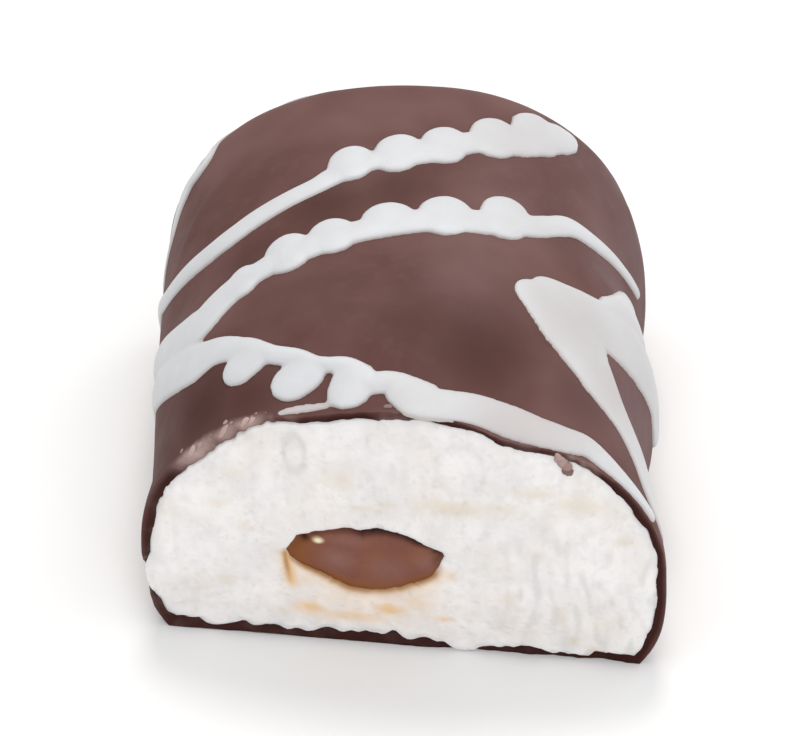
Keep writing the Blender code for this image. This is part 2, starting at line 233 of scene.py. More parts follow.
def normals_of(places):
    """Outward directions at the places of closed rings."""
    along = np.gradient(places, axis=0)
    around = np.roll(places, -1, axis=1) - np.roll(places, 1, axis=1)
    normal = np.cross(along, around)
    normal /= np.maximum(np.linalg.norm(normal, axis=-1, keepdims=True), 1e-9)
    outwards = places - places.mean(axis=1, keepdims=True)
    return normal * np.sign((normal * outwards).sum(-1, keepdims=True))


def ring_faces(ring_count, columns):
    """Quads between closed rings that follow each other."""
    ring, column = np.meshgrid(np.arange(ring_count - 1), np.arange(columns), indexing="ij")
    here = ring * columns + column
    beside = ring * columns + (column + 1) % columns
    return np.stack([here, here + columns, beside + columns, beside], -1).reshape(-1, 4).tolist()


def fan(ring_start, columns, tip):
    """Triangles from a closed ring to one vertex."""
    return [(ring_start + (c + 1) % columns, ring_start + c, tip) for c in range(columns)]


def linked(name, data):
    """A new object in the scene."""
    obj = bpy.data.objects.new(name, data)
    bpy.context.scene.collection.objects.link(obj)
    return obj


def new_piece(name, places, faces, finish, values):
    """A smooth mesh from places in millimetres, with attributes by name."""
    mesh = bpy.data.meshes.new(name)
    mesh.from_pydata((np.asarray(places) * MM).tolist(), [], faces)
    for key, numbers in values.items():
        layer = mesh.attributes.new(key, "FLOAT", "POINT")
        layer.data.foreach_set("value", np.asarray(numbers, np.float32))
    mesh.validate()
    mesh.shade_smooth()
    mesh.materials.append(finish)
    obj = linked(name, mesh)
    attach(obj, "root")
    return obj


def closed_piece(name, rings, tips, finish, values):
    """A closed body from rings, the tip at each end, and the rings' attributes by name."""
    columns, total = len(rings[0]), len(rings) * len(rings[0])
    faces = ring_faces(len(rings), columns)
    faces += [face[::-1] for face in fan(0, columns, total)]
    faces += fan(total - columns, columns, total + 1)
    values = {key: np.append(numbers, [0, 0]) for key, numbers in values.items()}
    obj = new_piece(name, np.concatenate([*rings, tips]), faces, finish, values)
    bm = bmesh.new()
    bm.from_mesh(obj.data)
    bmesh.ops.recalc_face_normals(bm, faces=bm.faces)
    bm.to_mesh(obj.data)
    bm.free()
    return obj


# Materials. A finish reads an attribute by name where a tint depends on the shape.


def fill_in(tree, node, **inputs):
    """Sets a node's inputs, or links them to other nodes' outputs."""
    for name, value in inputs.items():
        socket = node.inputs[name.replace("_", " ")]
        if isinstance(value, bpy.types.NodeSocket):
            tree.links.new(value, socket)
        else:
            socket.default_value = value
    return node


def new_node(tree, kind, output, **inputs):
    """An output of a new node."""
    return fill_in(tree, tree.nodes.new("ShaderNode" + kind), **inputs).outputs[output]


def new_material(name, colour, roughness, specular):
    made = bpy.data.materials.new(name)
    made.use_nodes = True
    tree = made.node_tree
    shader = tree.nodes["Principled BSDF"]
    fill_in(tree, shader, Base_Color=(*colour, 1.0), Roughness=roughness)
    fill_in(tree, shader, Specular_IOR_Level=specular)
    return made, tree, shader


def noise_node(tree, size, detail=3.0, roughness=0.5, distortion=0.0):
    """Noise with lumps of this size in millimetres, fixed to the object."""
    return new_node(
        tree, "TexNoise", "Fac", Vector=new_node(tree, "TexCoord", "Object"),
        Scale=1 / (size * MM), Detail=detail, Roughness=roughness, Distortion=distortion,
    )


def spots_node(tree, size):
    """Distance to the nearest of points scattered about this far apart."""
    place = new_node(tree, "TexCoord", "Object")
    return new_node(tree, "TexVoronoi", "Distance", Vector=place, Scale=1 / (size * MM))


def spread_node(tree, source, low, high, to_low=0.0, to_high=1.0):
    """Maps a value from one range to another, held at the ends."""
    return new_node(
        tree, "MapRange", "Result", Value=source, From_Min=low, From_Max=high, To_Min=to_low,
        To_Max=to_high,
    )


def bump_node(tree, source, depth, **below):
    """Fine relief of this depth in millimetres, on top of another bump."""
    return new_node(tree, "Bump", "Normal", Height=source, Distance=depth * MM, **below)


def tint_node(tree, factor, first, second):
    """A mix of two colours, each a colour or another node's output."""
    made = tree.nodes.new("ShaderNodeMix")
    made.data_type = "RGBA"
    tree.links.new(factor, made.inputs["Factor"])
    for key, colour in (("A", first), ("B", second)):
        socket = next(s for s in made.inputs if s.name == key and s.type == "RGBA")
        if isinstance(colour, tuple):
            socket.default_value = (*colour, 1.0)
        else:
            tree.links.new(colour, socket)
    return next(s for s in made.outputs if s.type == "RGBA")


def clouded(tree, colour, tint, size, low, high, strength=1.0, **texture):
    """The colour, tinted up to a strength where noise is high."""
    level = spread_node(tree, noise_node(tree, size, **texture), low, high, to_high=strength)
    return tint_node(tree, level, colour, tint)


def tinted(tree, colour, **tints):
    """The colour, tinted in turn by each attribute named."""
    for name, tint in tints.items():
        marks = tree.nodes.new("ShaderNodeAttribute")
        marks.attribute_name = name
        colour = tint_node(tree, marks.outputs["Fac"], colour, tint)
    return colour


CHOCOLATE_DARK, CHOCOLATE_LIGHT = (0.111, 0.051, 0.045), (0.158, 0.083, 0.077)
# The first is painted shade mixed with uneven tone; the second is painted sheen.
CHOCOLATE_DEEP, CHOCOLATE_BLOOM = (0.06, 0.024, 0.02), (0.30, 0.24, 0.26)
CHOCOLATE_CUT, CHOCOLATE_CRUMB = (0.034, 0.010, 0.008), (0.55, 0.41, 0.38)
ICING_THICK, ICING_THIN = (0.60, 0.612, 0.635), (0.42, 0.37, 0.35)
# The grey is both uneven tone and painted shade in the cut's pits and dents
MARSHMALLOW_WHITE, MARSHMALLOW_GREY = (0.80, 0.78, 0.775), (0.62, 0.605, 0.605)
MARSHMALLOW_TAN, MARSHMALLOW_STAIN = (0.66, 0.59, 0.48), (0.74, 0.50, 0.28)
AMBER = (0.33, 0.15, 0.04)
COCOA_BROWN, COCOA_RED = (0.20, 0.078, 0.044), (0.175, 0.066, 0.048)
# The dark is painted shade in the filling's groove and pits; the pale is painted sheen.
COCOA_DARK, COCOA_PALE = (0.026, 0.005, 0.005), (0.25, 0.135, 0.12)
SYRUP, FLECK = (0.20, 0.068, 0.018), (0.82, 0.72, 0.50)
FLOOR_COLOUR = (0.88, 0.88, 0.88)


def chocolate_finish():
    made, tree, shader = new_material("chocolate", CHOCOLATE_DARK, roughness=0.55, specular=0.07)
    colour = clouded(
        tree, CHOCOLATE_DARK, CHOCOLATE_LIGHT, size=7.0, low=0.35, high=0.65, detail=2.0
    )
    colour = clouded(
        tree, colour, CHOCOLATE_LIGHT, size=0.8, low=0.5, high=0.8, strength=0.35, detail=4.0
    )
    # The next tints are painted shade mixed with uneven tone, then painted sheen
    colour = tinted(tree, colour, shade=CHOCOLATE_DEEP, bloom=CHOCOLATE_BLOOM)
    colour = tinted(tree, colour, cut=CHOCOLATE_CUT, fringe=CHOCOLATE_CRUMB)
    sheen = noise_node(tree, size=2.5)
    sheen = spread_node(tree, sheen, low=0.3, high=0.7, to_low=0.55, to_high=0.7)
    relief = bump_node(tree, noise_node(tree, size=0.9), depth=0.035)
    relief = bump_node(tree, noise_node(tree, size=0.16, detail=2.0), depth=0.006, Normal=relief)
    fill_in(tree, shader, Base_Color=colour, Roughness=sheen, Normal=relief)
    return made


def icing_finish():
    made, tree, shader = new_material("icing", ICING_THICK, roughness=0.5, specular=0.3)
    soft = {"Subsurface_Weight": 0.2, "Subsurface_Radius": (1.0, 0.85, 0.8)}
    fill_in(tree, shader, **soft, Subsurface_Scale=0.5 * MM)
    colour = clouded(
        tree, ICING_THICK, ICING_THIN, size=1.6, low=0.35, high=0.75, strength=0.12
    )
    colour = tinted(tree, colour, thin=ICING_THIN)
    relief = bump_node(tree, noise_node(tree, size=0.7), depth=0.02)
    fill_in(tree, shader, Base_Color=colour, Normal=relief)
    return made


def marshmallow_finish():
    white, grey, tan = MARSHMALLOW_WHITE, MARSHMALLOW_GREY, MARSHMALLOW_TAN
    made, tree, shader = new_material("marshmallow", white, roughness=0.75, specular=0.25)
    soft = {"Subsurface_Weight": 0.4, "Subsurface_Radius": (1.0, 0.85, 0.75)}
    fill_in(tree, shader, **soft, Subsurface_Scale=1.0 * MM)
    cloudy = {"size": 2.6, "low": 0.4, "high": 0.72, "strength": 0.55}
    colour = clouded(tree, white, grey, **cloudy, detail=4.0, roughness=0.6)
    patchy = {"size": 0.9, "low": 0.48, "high": 0.75, "strength": 0.4}
    colour = clouded(tree, colour, grey, **patchy, roughness=0.55, distortion=0.4)
    # Painted shade in the pits and oval dents, with grey streaks
    colour = tinted(tree, colour, pore=grey)
    colour = clouded(tree, colour, tan, size=3.4, low=0.5, high=0.8, strength=0.3, detail=2.0)
    colour = tinted(tree, colour, speck=tan, stain=MARSHMALLOW_STAIN, amber=AMBER)
    relief = noise_node(tree, size=0.45, detail=4.0, roughness=0.65)
    relief = bump_node(tree, relief, depth=0.04)
    relief = bump_node(tree, spots_node(tree, size=0.28), depth=0.02, Normal=relief)
    fill_in(tree, shader, Base_Color=colour, Normal=relief)
    return made


def filling_finish():
    made, tree, shader = new_material("cocoa_filling", COCOA_BROWN, roughness=0.5, specular=0.12)
    colour = clouded(tree, COCOA_BROWN, COCOA_RED, size=1.3, low=0.35, high=0.65)
    # The tints are syrup, painted sheen, painted shade in the groove and pits, and the pale fleck
    colour = tinted(tree, colour, amber=SYRUP, pale=COCOA_PALE, dark=COCOA_DARK, light=FLECK)
    sheen = noise_node(tree, size=0.7)
    sheen = spread_node(tree, sheen, low=0.3, high=0.7, to_low=0.42, to_high=0.58)
    relief = noise_node(tree, size=0.5, detail=4.0, roughness=0.6)
    relief = bump_node(tree, relief, depth=0.05)
    fill_in(tree, shader, Base_Color=colour, Roughness=sheen, Normal=relief)
    return made


# The coating

# Its thickness at the cut, by the angle round the section in degrees
RIM_THICKNESS = (
    (-32, 0.62), (-20, 0.62), (-8, 0.56), (0, 0.52), (14, 0.5), (24, 0.52), (32, 0.5), (38, 0.45),
    (44, 0.4), (50, 0.42), (55, 0.52), (60, 0.6), (66, 0.58), (69, 0.48), (72, 0.3), (75, 0.36),
    (79, 0.58), (82, 0.62), (85, 0.5), (88, 0.7), (92, 0.75), (104, 0.75), (108, 0.7),
    (112, 0.6), (116, 0.5), (120, 0.5), (128, 0.8), (136, 0.85), (144, 0.9), (152, 0.85),
    (160, 0.78), (168, 0.7), (176, 0.66), (183, 0.55), (186, 0.1), (193, 0.06), (197, 0.3),
    (201, 0.45), (210, 0.5), (219, 0.65), (225, 0.55), (229, 0.3), (236, 0.35), (240, 0.7),
    (252, 0.82), (262, 0.75), (270, 0.85), (273.5, 0.8), (275, 0.14), (279, 0.1),
    (280.5, 0.45), (284, 0.72), (288, 0.78), (291.5, 0.68), (293, 0.35), (296, 0.3), (299, 0.5),
    (303, 0.45), (306, 0.3), (310, 0.5), (313, 0.68), (322, 0.66), (328, 0.62),
)
# How far its edge is broken back from the cut, by the same angle
RIM_RECESS = (
    (-32, 0.05), (0, 0.0), (40, 0.05), (46, 0.2), (50, 0.05), (70, 0.0), (100, 0.05),
    (112, 0.1), (119, 0.3), (123, 0.15), (128, 0.35), (133, 0.2), (138, 0.4), (143, 0.25),
    (149, 0.15), (156, 0.05), (176, 0.0), (183, 0.15), (187, 0.9), (193, 1.0),
    (197, 0.3), (201, 0.05), (250, 0.0), (272, 0.0), (276, 0.3), (290, 0.15), (297, 0.3),
    (304, 0.15), (312, 0.3), (320, 0.1), (328, 0.05),
)
# Where it was dragged over the cut in pale crumbs, by the same angle
RIM_DRAG = (
    (-32, 0.0), (40, 0.0), (46, 0.6), (52, 0.5), (58, 0.1), (84, 0.0), (89, 0.25), (92, 0.25),
    (95, 0.0), (110, 0.05), (118, 0.8), (146, 0.9), (150, 0.4), (156, 0.0), (182, 0.1),
    (187, 0.8), (193, 0.8), (198, 0.1), (328, 0.0),
)

# Mesh density
COAT_COLUMNS, COAT_BASE_COLUMNS, COAT_RINGS, COAT_END_RINGS = 430, 80, 140, 28
INNER_RINGS, INNER_END_RINGS = 10, 5
RING_CROWDING = 1.35  # over 1 crowds the rings at the cut

RIM_LEAST, BACK_LEAST = 0.05, 0.45  # the least thickness at the rim and away from it
THICKENING = 12  # how soon it gets there behind the rim
COAT_END = 0.5  # its thickness at the closed end
BASE_RAMP = (0.2, 1 / 3)  # from where the sides turn into the base, by the angle's sine
BASE_FLAT = 0.03  # how high the section's base still counts as flat
BASE_FALL = 0.6  # how steeply it may thin there, as a share of the rows' slope

RIM_STEPS = (0.12, 0.5, 0.88)
RIM_DARKNESS = (0.6, 1.0, 1.0, 1.0)  # at those steps and at the inner edge
EDGE_ROUGH, RECESS_ROUGH = 0.05, 0.3  # how ragged the edge is, and more where it is broken
RIM_ROUGH, DRAG_ROUGH = 0.05, 0.1  # how rough the rim is, and more where it was dragged
DRAG_SWELL, DRAG_LIGHT = 0.12, 0.75  # how far a dragged rim stands out, and how pale it is
INNER_START = 0.05  # how far behind the outer edge the inner one lies
FRINGE_RINGS = 9  # how many rings back from the rim the pale crumbs reach
FRINGE_COVER, FRINGE_PALE = 0.3, 0.55

# Layers of noise: strength, size of the lumps in millimetres, squeeze along Y, and seed
COAT_WAVES = ((0.07, 6.5, 0.7, 11), (0.03, 2.4, 1, 12))
RIM_JAGS = ((1.0, 0.9, 1, 3), (0.6, 0.3, 1, 4))
RIM_LUMPS, BASE_LUMPS, DRAG_LUMPS = (0.25, 1.1, 1, 5), (0.7, 0.8, 1, 10), (0.25, 0.6, 1, 8)
RIM_GRAIN, INNER_LUMPS, FRINGE_SPOTS = (1.0, 0.35, 1, 7), (0.08, 0.5, 1, 6), (1.8, 0.75, 1, 9)
SPOT_RAGGEDNESS, SPOT_LUMPS = 0.5, 2.6

# Soft folds in the chocolate: angle and Y at one end, the same at the other, height, width
FOLDS = (
    (76, -1.2, 69, -2.0, 0.12, 0.7), (69, -2.0, 63.5, -3.9, 0.14, 0.7),
    (63.5, -3.9, 60, -6.0, 0.1, 0.9), (70, 4.8, 57, 7.2, 0.12, 0.8), (52, 8.6, 44, 10.4, 0.12, 0.8),
    (96, -6.0, 84, -8.6, -0.12, 1.2), (150, 7.0, 138, 9.4, 0.1, 0.8),
    (112, 9.0, 100, 12.5, 0.1, 1.2), (30, 9.5, 22, 12.0, 0.1, 0.9),
)
# Where the chocolate is painted darker, partly uneven tone and partly painted shade on the left
# side and near the icing: angle, Y, reach in millimetres and how much
DARK_SPOTS = (
    (72, -11.2, 4.0, 0.8), (85, -9.5, 3.5, 0.45), (44, -12.5, 3.0, 0.55), (25, -9.0, 3.0, 0.4),
    (104, 3.0, 2.6, 0.7), (90, 4.0, 2.4, 0.6), (140, -11.4, 4.0, 0.9), (124, -12.6, 3.2, 0.8),
    (158, -12.3, 4.5, 0.7), (110, -6.5, 4.0, 0.3), (62, -13.4, 2.5, 0.3), (124, -0.4, 2.5, 0.4),
    (171, -6.0, 5.0, 0.35), (40, 2.5, 2.6, 0.3),
)
# Painted sheen: where light glancing off the chocolate is painted as a pale grey haze, in the same
# numbers
GREY_SPOTS = (
    (22, 9.0, 7.0, 0.16), (32, 2.5, 3.0, 0.14), (8, -6.5, 5.0, 0.2), (42, 12.5, 5.0, 0.1),
    (14, -10.0, 5.0, 0.2), (60, 6.0, 4.0, 0.08), (75, -4.5, 4.0, 0.06),
)
# Where it is rubbed pale beside the rim, in the same numbers
PALE_SPOTS = (
    (123.5, -14.5, 0.9, 0.9), (131, -14.25, 0.8, 0.75), (136.5, -14.2, 0.6, 0.5),
    (141.5, -13.95, 1.2, 0.9), (147.5, -13.85, 0.9, 0.5),
)


def rim_y(angle):
    """Where the coating's outer edge is along Y, at an angle."""
    knife_y = cut_y(section(angle)[0])
    recess = by_angle(RIM_RECESS, angle)
    jagged = layered(skin(angle, knife_y), *RIM_JAGS)
    return knife_y + recess + np.maximum((EDGE_ROUGH + RECESS_ROUGH * recess) * jagged, -recess)


def blobs(places, spots, seed):
    """How strong soft ragged spots on the skin are at each place."""
    flat = places.reshape(-1, 3)
    ragged = 1 + layered(flat, (SPOT_RAGGEDNESS, SPOT_LUMPS, 1, seed))
    total = np.zeros(len(flat))
    for angle, y, reach, much in spots:
        middle = skin(np.radians([angle]), y)[0]
        away = np.linalg.norm(flat - middle, axis=1) / reach
        total = np.maximum(total, much * np.exp(-(away**2) * ragged))
    return np.clip(total, 0, 1).reshape(places.shape[:-1])


def coat_relief(places):
    """How far the chocolate stands out from the plain skin."""
    flat = places.reshape(-1, 3)
    waves = layered(flat, *COAT_WAVES)
    for first_angle, first_y, last_angle, last_y, high, wide in FOLDS:
        first = skin(np.radians([first_angle]), first_y)[0]
        line = skin(np.radians([last_angle]), last_y)[0] - first
        share = np.clip((flat - first) @ line / (line @ line), 0, 1)
        away = np.linalg.norm(flat - first - share[:, None] * line, axis=1)
        waves += high * bell(away, wide)
    return waves.reshape(places.shape[:-1])


def rim_thickness(angles):
    """The coating's uneven thickness at the cut."""
    place = skin(angles, cut_y(section(angles)[0]))
    uneven = 1 + layered(place, RIM_LUMPS) + on_base(angles) * layered(place, BASE_LUMPS)
    thickness = by_angle(RIM_THICKNESS, angles) * uneven
    thickness += by_angle(RIM_DRAG, angles) * layered(place, DRAG_LUMPS)
    return eased(angles, np.maximum(thickness, RIM_LEAST))


def eased(angles, thickness):
    """The thickness, thinning outwards along the base no faster than the cut's rows can."""
    x, z = section(angles)
    from_centre = x - FILLING_CENTRE[0]
    done = thickness.copy()
    for side in (1, -1):
        base = np.nonzero((z < BASE_FLAT) & (from_centre * side > 1))[0]
        base = base[np.argsort(np.abs(from_centre[base]))]
        for before, here in zip(base, base[1:]):
            far = abs(from_centre[here])
            fall = BASE_FALL * FILLING_CENTRE[1] / far * (far - abs(from_centre[before]))
            done[here] = max(done[here], done[before] - fall)
    return done


def on_base(angles):
    """1 along the base and 0 over the rest of the section."""
    return ramp(-np.sin(angles), *BASE_RAMP)


def deeper(thickness, share):
    """The thickness a share of the way back, where none of it is very thin."""
    return thickness + np.maximum(BACK_LEAST - thickness, 0) * min(share * THICKENING, 1)


def outer_rings(angles, start):
    """The coating's outside with its relief, from the rim to the closed end."""
    end = FAR_END_Y - end_rounding(angles, 0.0)
    shares = np.linspace(0, 1, COAT_RINGS) ** RING_CROWDING
    outer = [skin(angles, start + (end - start) * share) for share in shares]
    outer = np.array(outer + end_rings(angles, COAT_END_RINGS))
    outer += normals_of(outer) * coat_relief(outer)[..., None]
    outer[..., 2] = np.maximum(outer[..., 2], 0)
    return outer


def inner_rings(angles, start, thickness, shares, end_count):
    """Rings this deep under the skin, at shares of the way back and over the closed end."""
    deep = deeper(thickness, 1.0)
    end = FAR_END_Y - end_rounding(angles, deep) - deep
    inner = [
        skin(angles, start + (end - start) * share, deeper(thickness, share)) for share in shares
    ]
    return inner + end_rings(angles, end_count, deep)


def rim_rings(outer_edge, inner_edge, drag):
    """The broken rim, from its outer to its inner edge."""
    rim = []
    for share in RIM_STEPS:
        ring = outer_edge * (1 - share) + inner_edge * share
        ring[:, 1] += (RIM_ROUGH + DRAG_ROUGH * drag) * layered(ring, RIM_GRAIN)
        ring[:, 1] -= DRAG_SWELL * math.sin(math.pi * share) * drag
        rim.append(ring)
    return rim


def coat_tints(rings, outer, angles):
    """How strong each tint is on the coating's rings."""
    first = len(outer)
    last = first + len(RIM_STEPS)
    base, drag = on_base(angles), by_angle(RIM_DRAG, angles)
    cut, fringe, shade, bloom = np.zeros((4, len(rings), len(angles)))
    # Painted shade, partly uneven tone, where the chocolate is darker
    shade[:first] = blobs(outer, DARK_SPOTS, seed=13)[::-1]
    # Painted sheen: a pale grey haze where light glances off the chocolate
    bloom[:first] = blobs(outer, GREY_SPOTS, seed=15)[::-1]
    cut[last:] = 1.0
    cut[first - 1] = base
    for k in range(first - FRINGE_RINGS, last + 1):
        spots = np.clip(layered(rings[k], FRINGE_SPOTS) + FRINGE_COVER, 0, 1)
        near = min(1.0, (k - first + FRINGE_RINGS) / FRINGE_RINGS)
        rubbed = blobs(rings[k], PALE_SPOTS, seed=16)
        fringe[k] = np.clip(drag * near * np.maximum(FRINGE_PALE * spots, rubbed), 0, 1)
        if k >= first:
            cut[k] = (1 - DRAG_LIGHT * drag) * np.maximum(RIM_DARKNESS[k - first], base)
    return {"cut": cut, "fringe": fringe, "shade": shade, "bloom": bloom}


def build_coating(finish):
    """The chocolate skin as a closed shell with its broken rim at the cut."""
    angles = section_angles(COAT_COLUMNS, COAT_BASE_COLUMNS)
    start = rim_y(angles)
    outer = outer_rings(angles, start)
    inner_start = start + INNER_START + layered(outer[0], INNER_LUMPS)
    shares = np.linspace(0, 1, INNER_RINGS) ** 2
    inner = inner_rings(angles, inner_start, rim_thickness(angles), shares, INNER_END_RINGS)
    rim = rim_rings(outer[0], inner[0], by_angle(RIM_DRAG, angles))
    rings = [*outer[::-1], *rim, *inner]
    tips = [[0, FAR_END_Y, BELLY_HEIGHT], [0, FAR_END_Y - COAT_END, BELLY_HEIGHT]]
    values = coat_tints(rings, outer, angles)
    obj = closed_piece("chocolate_coat", rings, tips, finish, values)
    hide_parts("chocolate_coating")


# The marshmallow

FACE_COLUMNS, FACE_BASE_COLUMNS, FACE_ROWS = 560, 120, 84
WALL_RINGS, WALL_END_RINGS, CHANNEL_RINGS = 13, 5, 8
EDGE_SHARE, EDGE_GAP = 0.9, 0.02  # where its edge is under the coating's rim
HOLE_GAP, CHANNEL_GAP, CHANNEL_TIP_GAP = 0.06, 0.3, 0.4  # round and behind the filling
WALL_START, BODY_END_GAP = 0.1, 0.55
FACE_SWELL = 0.28
# Layers of noise on the cut: strength, size of the lumps, squeeze along Z, and seed
FACE_LUMPS = ((0.10, 3.2, 0.8, 21), (0.04, 1.1, 1, 22), (0.05, 0.8, 0.4, 24), (0.022, 0.4, 1, 23))
HOLE_LUMPS = (0.05, 1.5, 1, 32)
PIT_SHIFT_X, PIT_SHIFT_Z = (0.2, 0.9, 1, 33), (0.2, 0.9, 1, 34)
STREAKS, OVAL_BREAKS = (1.6, 1.0, 1, 37), (0.9, 1.3, 1, 36)
STREAK_SQUEEZE, STREAK_GAP = (1.7, 0.6), 0.1  # the squeeze along X and Z
MARK_RAGGEDNESS, MARK_LUMPS = 0.6, 0.5

# Round pits in the cut: how many, the smallest and largest radius, the depth, and seed
PORES, FACE_DENTS = (1500, 0.06, 0.3, 0.07, 41), (30, 0.4, 0.9, 0.07, 42)
PIT_SPAN_X, PIT_SPAN_Z = (-16, 16), (0, 18)
PIT_SIZE_POWER, PIT_STEEPNESS = 2.5, 0.5
# The pits' depth is painted grey as shade, this many times over
PORE_TINT, DENT_TINT, GREY_STRENGTH, TAN_TINT = 3, 2, 0.7, 1.35

# How far the cut drops at its edge and round the filling, and over what reach
EDGE_DROP, HOLE_DROP = (0.16, 0.35), (0.12, 0.2)
OVAL_SHARE, OVAL_WIDTH, OVAL_DEPTH = 0.75, 0.2, 0.1

# Grey streaks: the strength, the extra in the lower right, and where that starts
STREAK_WEIGHT, STREAK_EXTRA = 0.3, 1.3
STREAK_X, STREAK_Z, STREAK_FADE = 5.0, 10.0, 3.0

# Syrup soaked in below the filling, and its drip at the left end: the line that it follows
# as X, Z and tilt, where it starts and stops, and its amber core beside that line
SOAK_TOP, SOAK_FADE = FILLING_CENTRE[1] + 0.2, 0.8
SOAK_TAN, SOAK_AMBER = (0.55, 0.95), (0.9, 0.28)  # strength and reach
DRIP_X, DRIP_Z, DRIP_TILT, DRIP_REACH = -6.5, 5.2, 0.12, 0.45
DRIP_BOTTOM, DRIP_TOP = (3.5, 0.8), (6.7, 0.5)  # height and fade
CORE_OFFSET, CORE_REACH, CORE_BOTTOM, CORE_STRENGTH = 0.12, 0.17, (3.8, 1.6), 0.85

# Faint tan marks on the cut: X, Z, half width and half height, and how strong the tint is
TAN_MARKS = (
    (3.1, 5.7, 0.3, 0.3, 0.6), (3.2, 10.55, 2.3, 0.6, 0.55), (3.2, 10.6, 0.35, 0.3, 0.5),
    (8.1, 12.0, 1.2, 0.45, 0.5), (10.6, 11.4, 1.6, 0.7, 0.45), (13.2, 9.0, 0.7, 0.35, 0.45),
    (10.2, 1.5, 0.3, 0.3, 0.6), (11.4, 1.0, 0.4, 0.3, 0.6), (-10.3, 3.9, 0.6, 0.4, 0.4),
    (-9.5, 11.8, 0.6, 0.5, 0.35), (-10.6, 9.5, 0.6, 0.45, 0.35), (-9.0, 8.0, 0.5, 0.4, 0.35),
    (-3.2, 11.9, 0.8, 0.8, 0.4), (-1.9, 9.95, 1.2, 0.3, 0.4), (-0.6, 10.4, 0.9, 0.3, 0.35),
    (-6.9, 1.9, 0.3, 0.25, 0.4), (6.4, 4.3, 0.7, 0.5, 0.35), (9.6, 3.4, 0.5, 0.8, 0.35),
    (5.9, 10.8, 1.1, 0.35, 0.35), (12.0, 2.8, 1.6, 1.2, 0.22), (8.0, 7.6, 1.2, 0.8, 0.16),
)
# Where syrup from the filling has tinted the cut, in the same numbers
STAINS = (
    (-5.3, 2.45, 0.95, 0.5, 0.9), (-0.7, 2.75, 0.95, 0.48, 1.0), (-2.9, 2.05, 2.4, 0.5, 0.65),
    (0.9, 3.5, 1.1, 0.8, 0.5), (1.6, 4.5, 0.6, 0.4, 0.4), (-5.7, 4.5, 0.9, 0.6, 0.4),
    (2.5, 2.45, 0.5, 0.28, 0.65), (-3.5, 3.3, 2.2, 0.7, 0.32), (-2.0, 3.0, 4.6, 1.5, 0.28),
)
# Ovals left by bubbles, dented in and painted grey as shade in the dents, in the same numbers
GREY_RINGS = (
    (-5.97, 13.5, 0.62, 1.25, 1.0), (3.7, 13.3, 1.4, 1.7, 0.4), (2.9, 12.4, 1.5, 2.3, 0.3),
    (11.6, 4.6, 0.5, 1.1, 0.45), (8.2, 6.2, 0.7, 1.3, 0.3), (-10.0, 7.0, 0.8, 1.0, 0.25),
)


def filling_reach(direction):
    """How far the filling's outline is from its centre, by direction."""
    outline = np.array(FILLING_OUTLINE) - FILLING_CENTRE
    at = np.arctan2(outline[:, 1], outline[:, 0])
    order = np.argsort(at)
    return np.interp(direction, at[order], np.hypot(*outline[order].T), period=2 * math.pi)


def on_face(x, z):
    """Flat places, for noise over the cut."""
    return np.stack([x, z, np.zeros_like(x)], -1)


def cut_relief(x, z):
    """How far the cut face stands out from the knife's plane."""
    off_centre = (x / BODY_HALF_WIDTH) ** 2
    off_centre = off_centre + ((z - BELLY_HEIGHT) / (BODY_HEIGHT - BELLY_HEIGHT)) ** 2
    return FACE_SWELL * np.maximum(1 - off_centre, 0) ** 0.5 + layered(on_face(x, z), *FACE_LUMPS)


def pits(x, z, count, smallest, largest, depth, seed):
    """Depth of round pits scattered over the face."""
    random = np.random.default_rng(seed)
    px = random.uniform(*PIT_SPAN_X, count)
    pz = random.uniform(*PIT_SPAN_Z, count)
    radius = smallest + (largest - smallest) * random.random(count) ** PIT_SIZE_POWER
    total = np.zeros_like(x)
    for cx, cz, r in zip(px, pz, radius):
        near = np.nonzero((np.abs(x - cx) < r) & (np.abs(z - cz) < r))[0]
        away = ((x[near] - cx) ** 2 + (z[near] - cz) ** 2) / r**2
        pit = np.maximum(1 - away, 0) * min(PIT_STEEPNESS * r, depth)
        total[near] = np.maximum(total[near], pit)
    return total


def soft_marks(x, z, marks, seed):
    """How strong ragged marks are."""
    total = np.zeros_like(x)
    ragged = 1 + layered(on_face(x, z), (MARK_RAGGEDNESS, MARK_LUMPS, 1, seed))
    for cx, cz, wide, high, strength in marks:
        away = ((x - cx) / wide) ** 2 + ((z - cz) / high) ** 2
        total = np.maximum(total, strength * np.exp(-away * ragged))
    return total


def oval_marks(x, z):
    """How strong the ovals' dents and their painted shade are, each oval broken in places."""
    total = np.zeros_like(x)
    broken = np.clip(OVAL_SHARE + layered(on_face(x, z), OVAL_BREAKS), 0, 1)
    for cx, cz, wide, high, strength in GREY_RINGS:
        away = (np.hypot((x - cx) / wide, (z - cz) / high) - 1) * min(wide, high)
        total = np.maximum(total, strength * broken * bell(away, OVAL_WIDTH))
    return total


def streaks(x, z):
    """Soft grey streaks, upright and stronger in the lower right."""
    place = on_face(x * STREAK_SQUEEZE[0], z * STREAK_SQUEEZE[1])
    lower_right = ramp(x, STREAK_X, STREAK_FADE) * ramp(-z, -STREAK_Z, STREAK_FADE)
    weight = STREAK_WEIGHT + STREAK_EXTRA * lower_right
    return weight * np.clip(layered(place, STREAKS) - STREAK_GAP, 0, 1)


def syrup_marks(x, z, from_hole):
    """How strong the syrup's tan and amber are, below the filling and in its drip."""
    lower = ramp(-z, -SOAK_TOP, SOAK_FADE)
    drip = ramp(z, *DRIP_BOTTOM) * ramp(-z, -DRIP_TOP[0], DRIP_TOP[1])
    away = x - DRIP_X + DRIP_TILT * (z - DRIP_Z)
    core = CORE_STRENGTH * ramp(z, *CORE_BOTTOM) * drip * bell(away + CORE_OFFSET, CORE_REACH)
    strength, reach = SOAK_TAN
    tan = np.maximum(strength * bell(from_hole, reach) * lower, drip * bell(away, DRIP_REACH))
    strength, reach = SOAK_AMBER
    return tan, np.maximum(bell(from_hole, reach) * lower, core) * strength


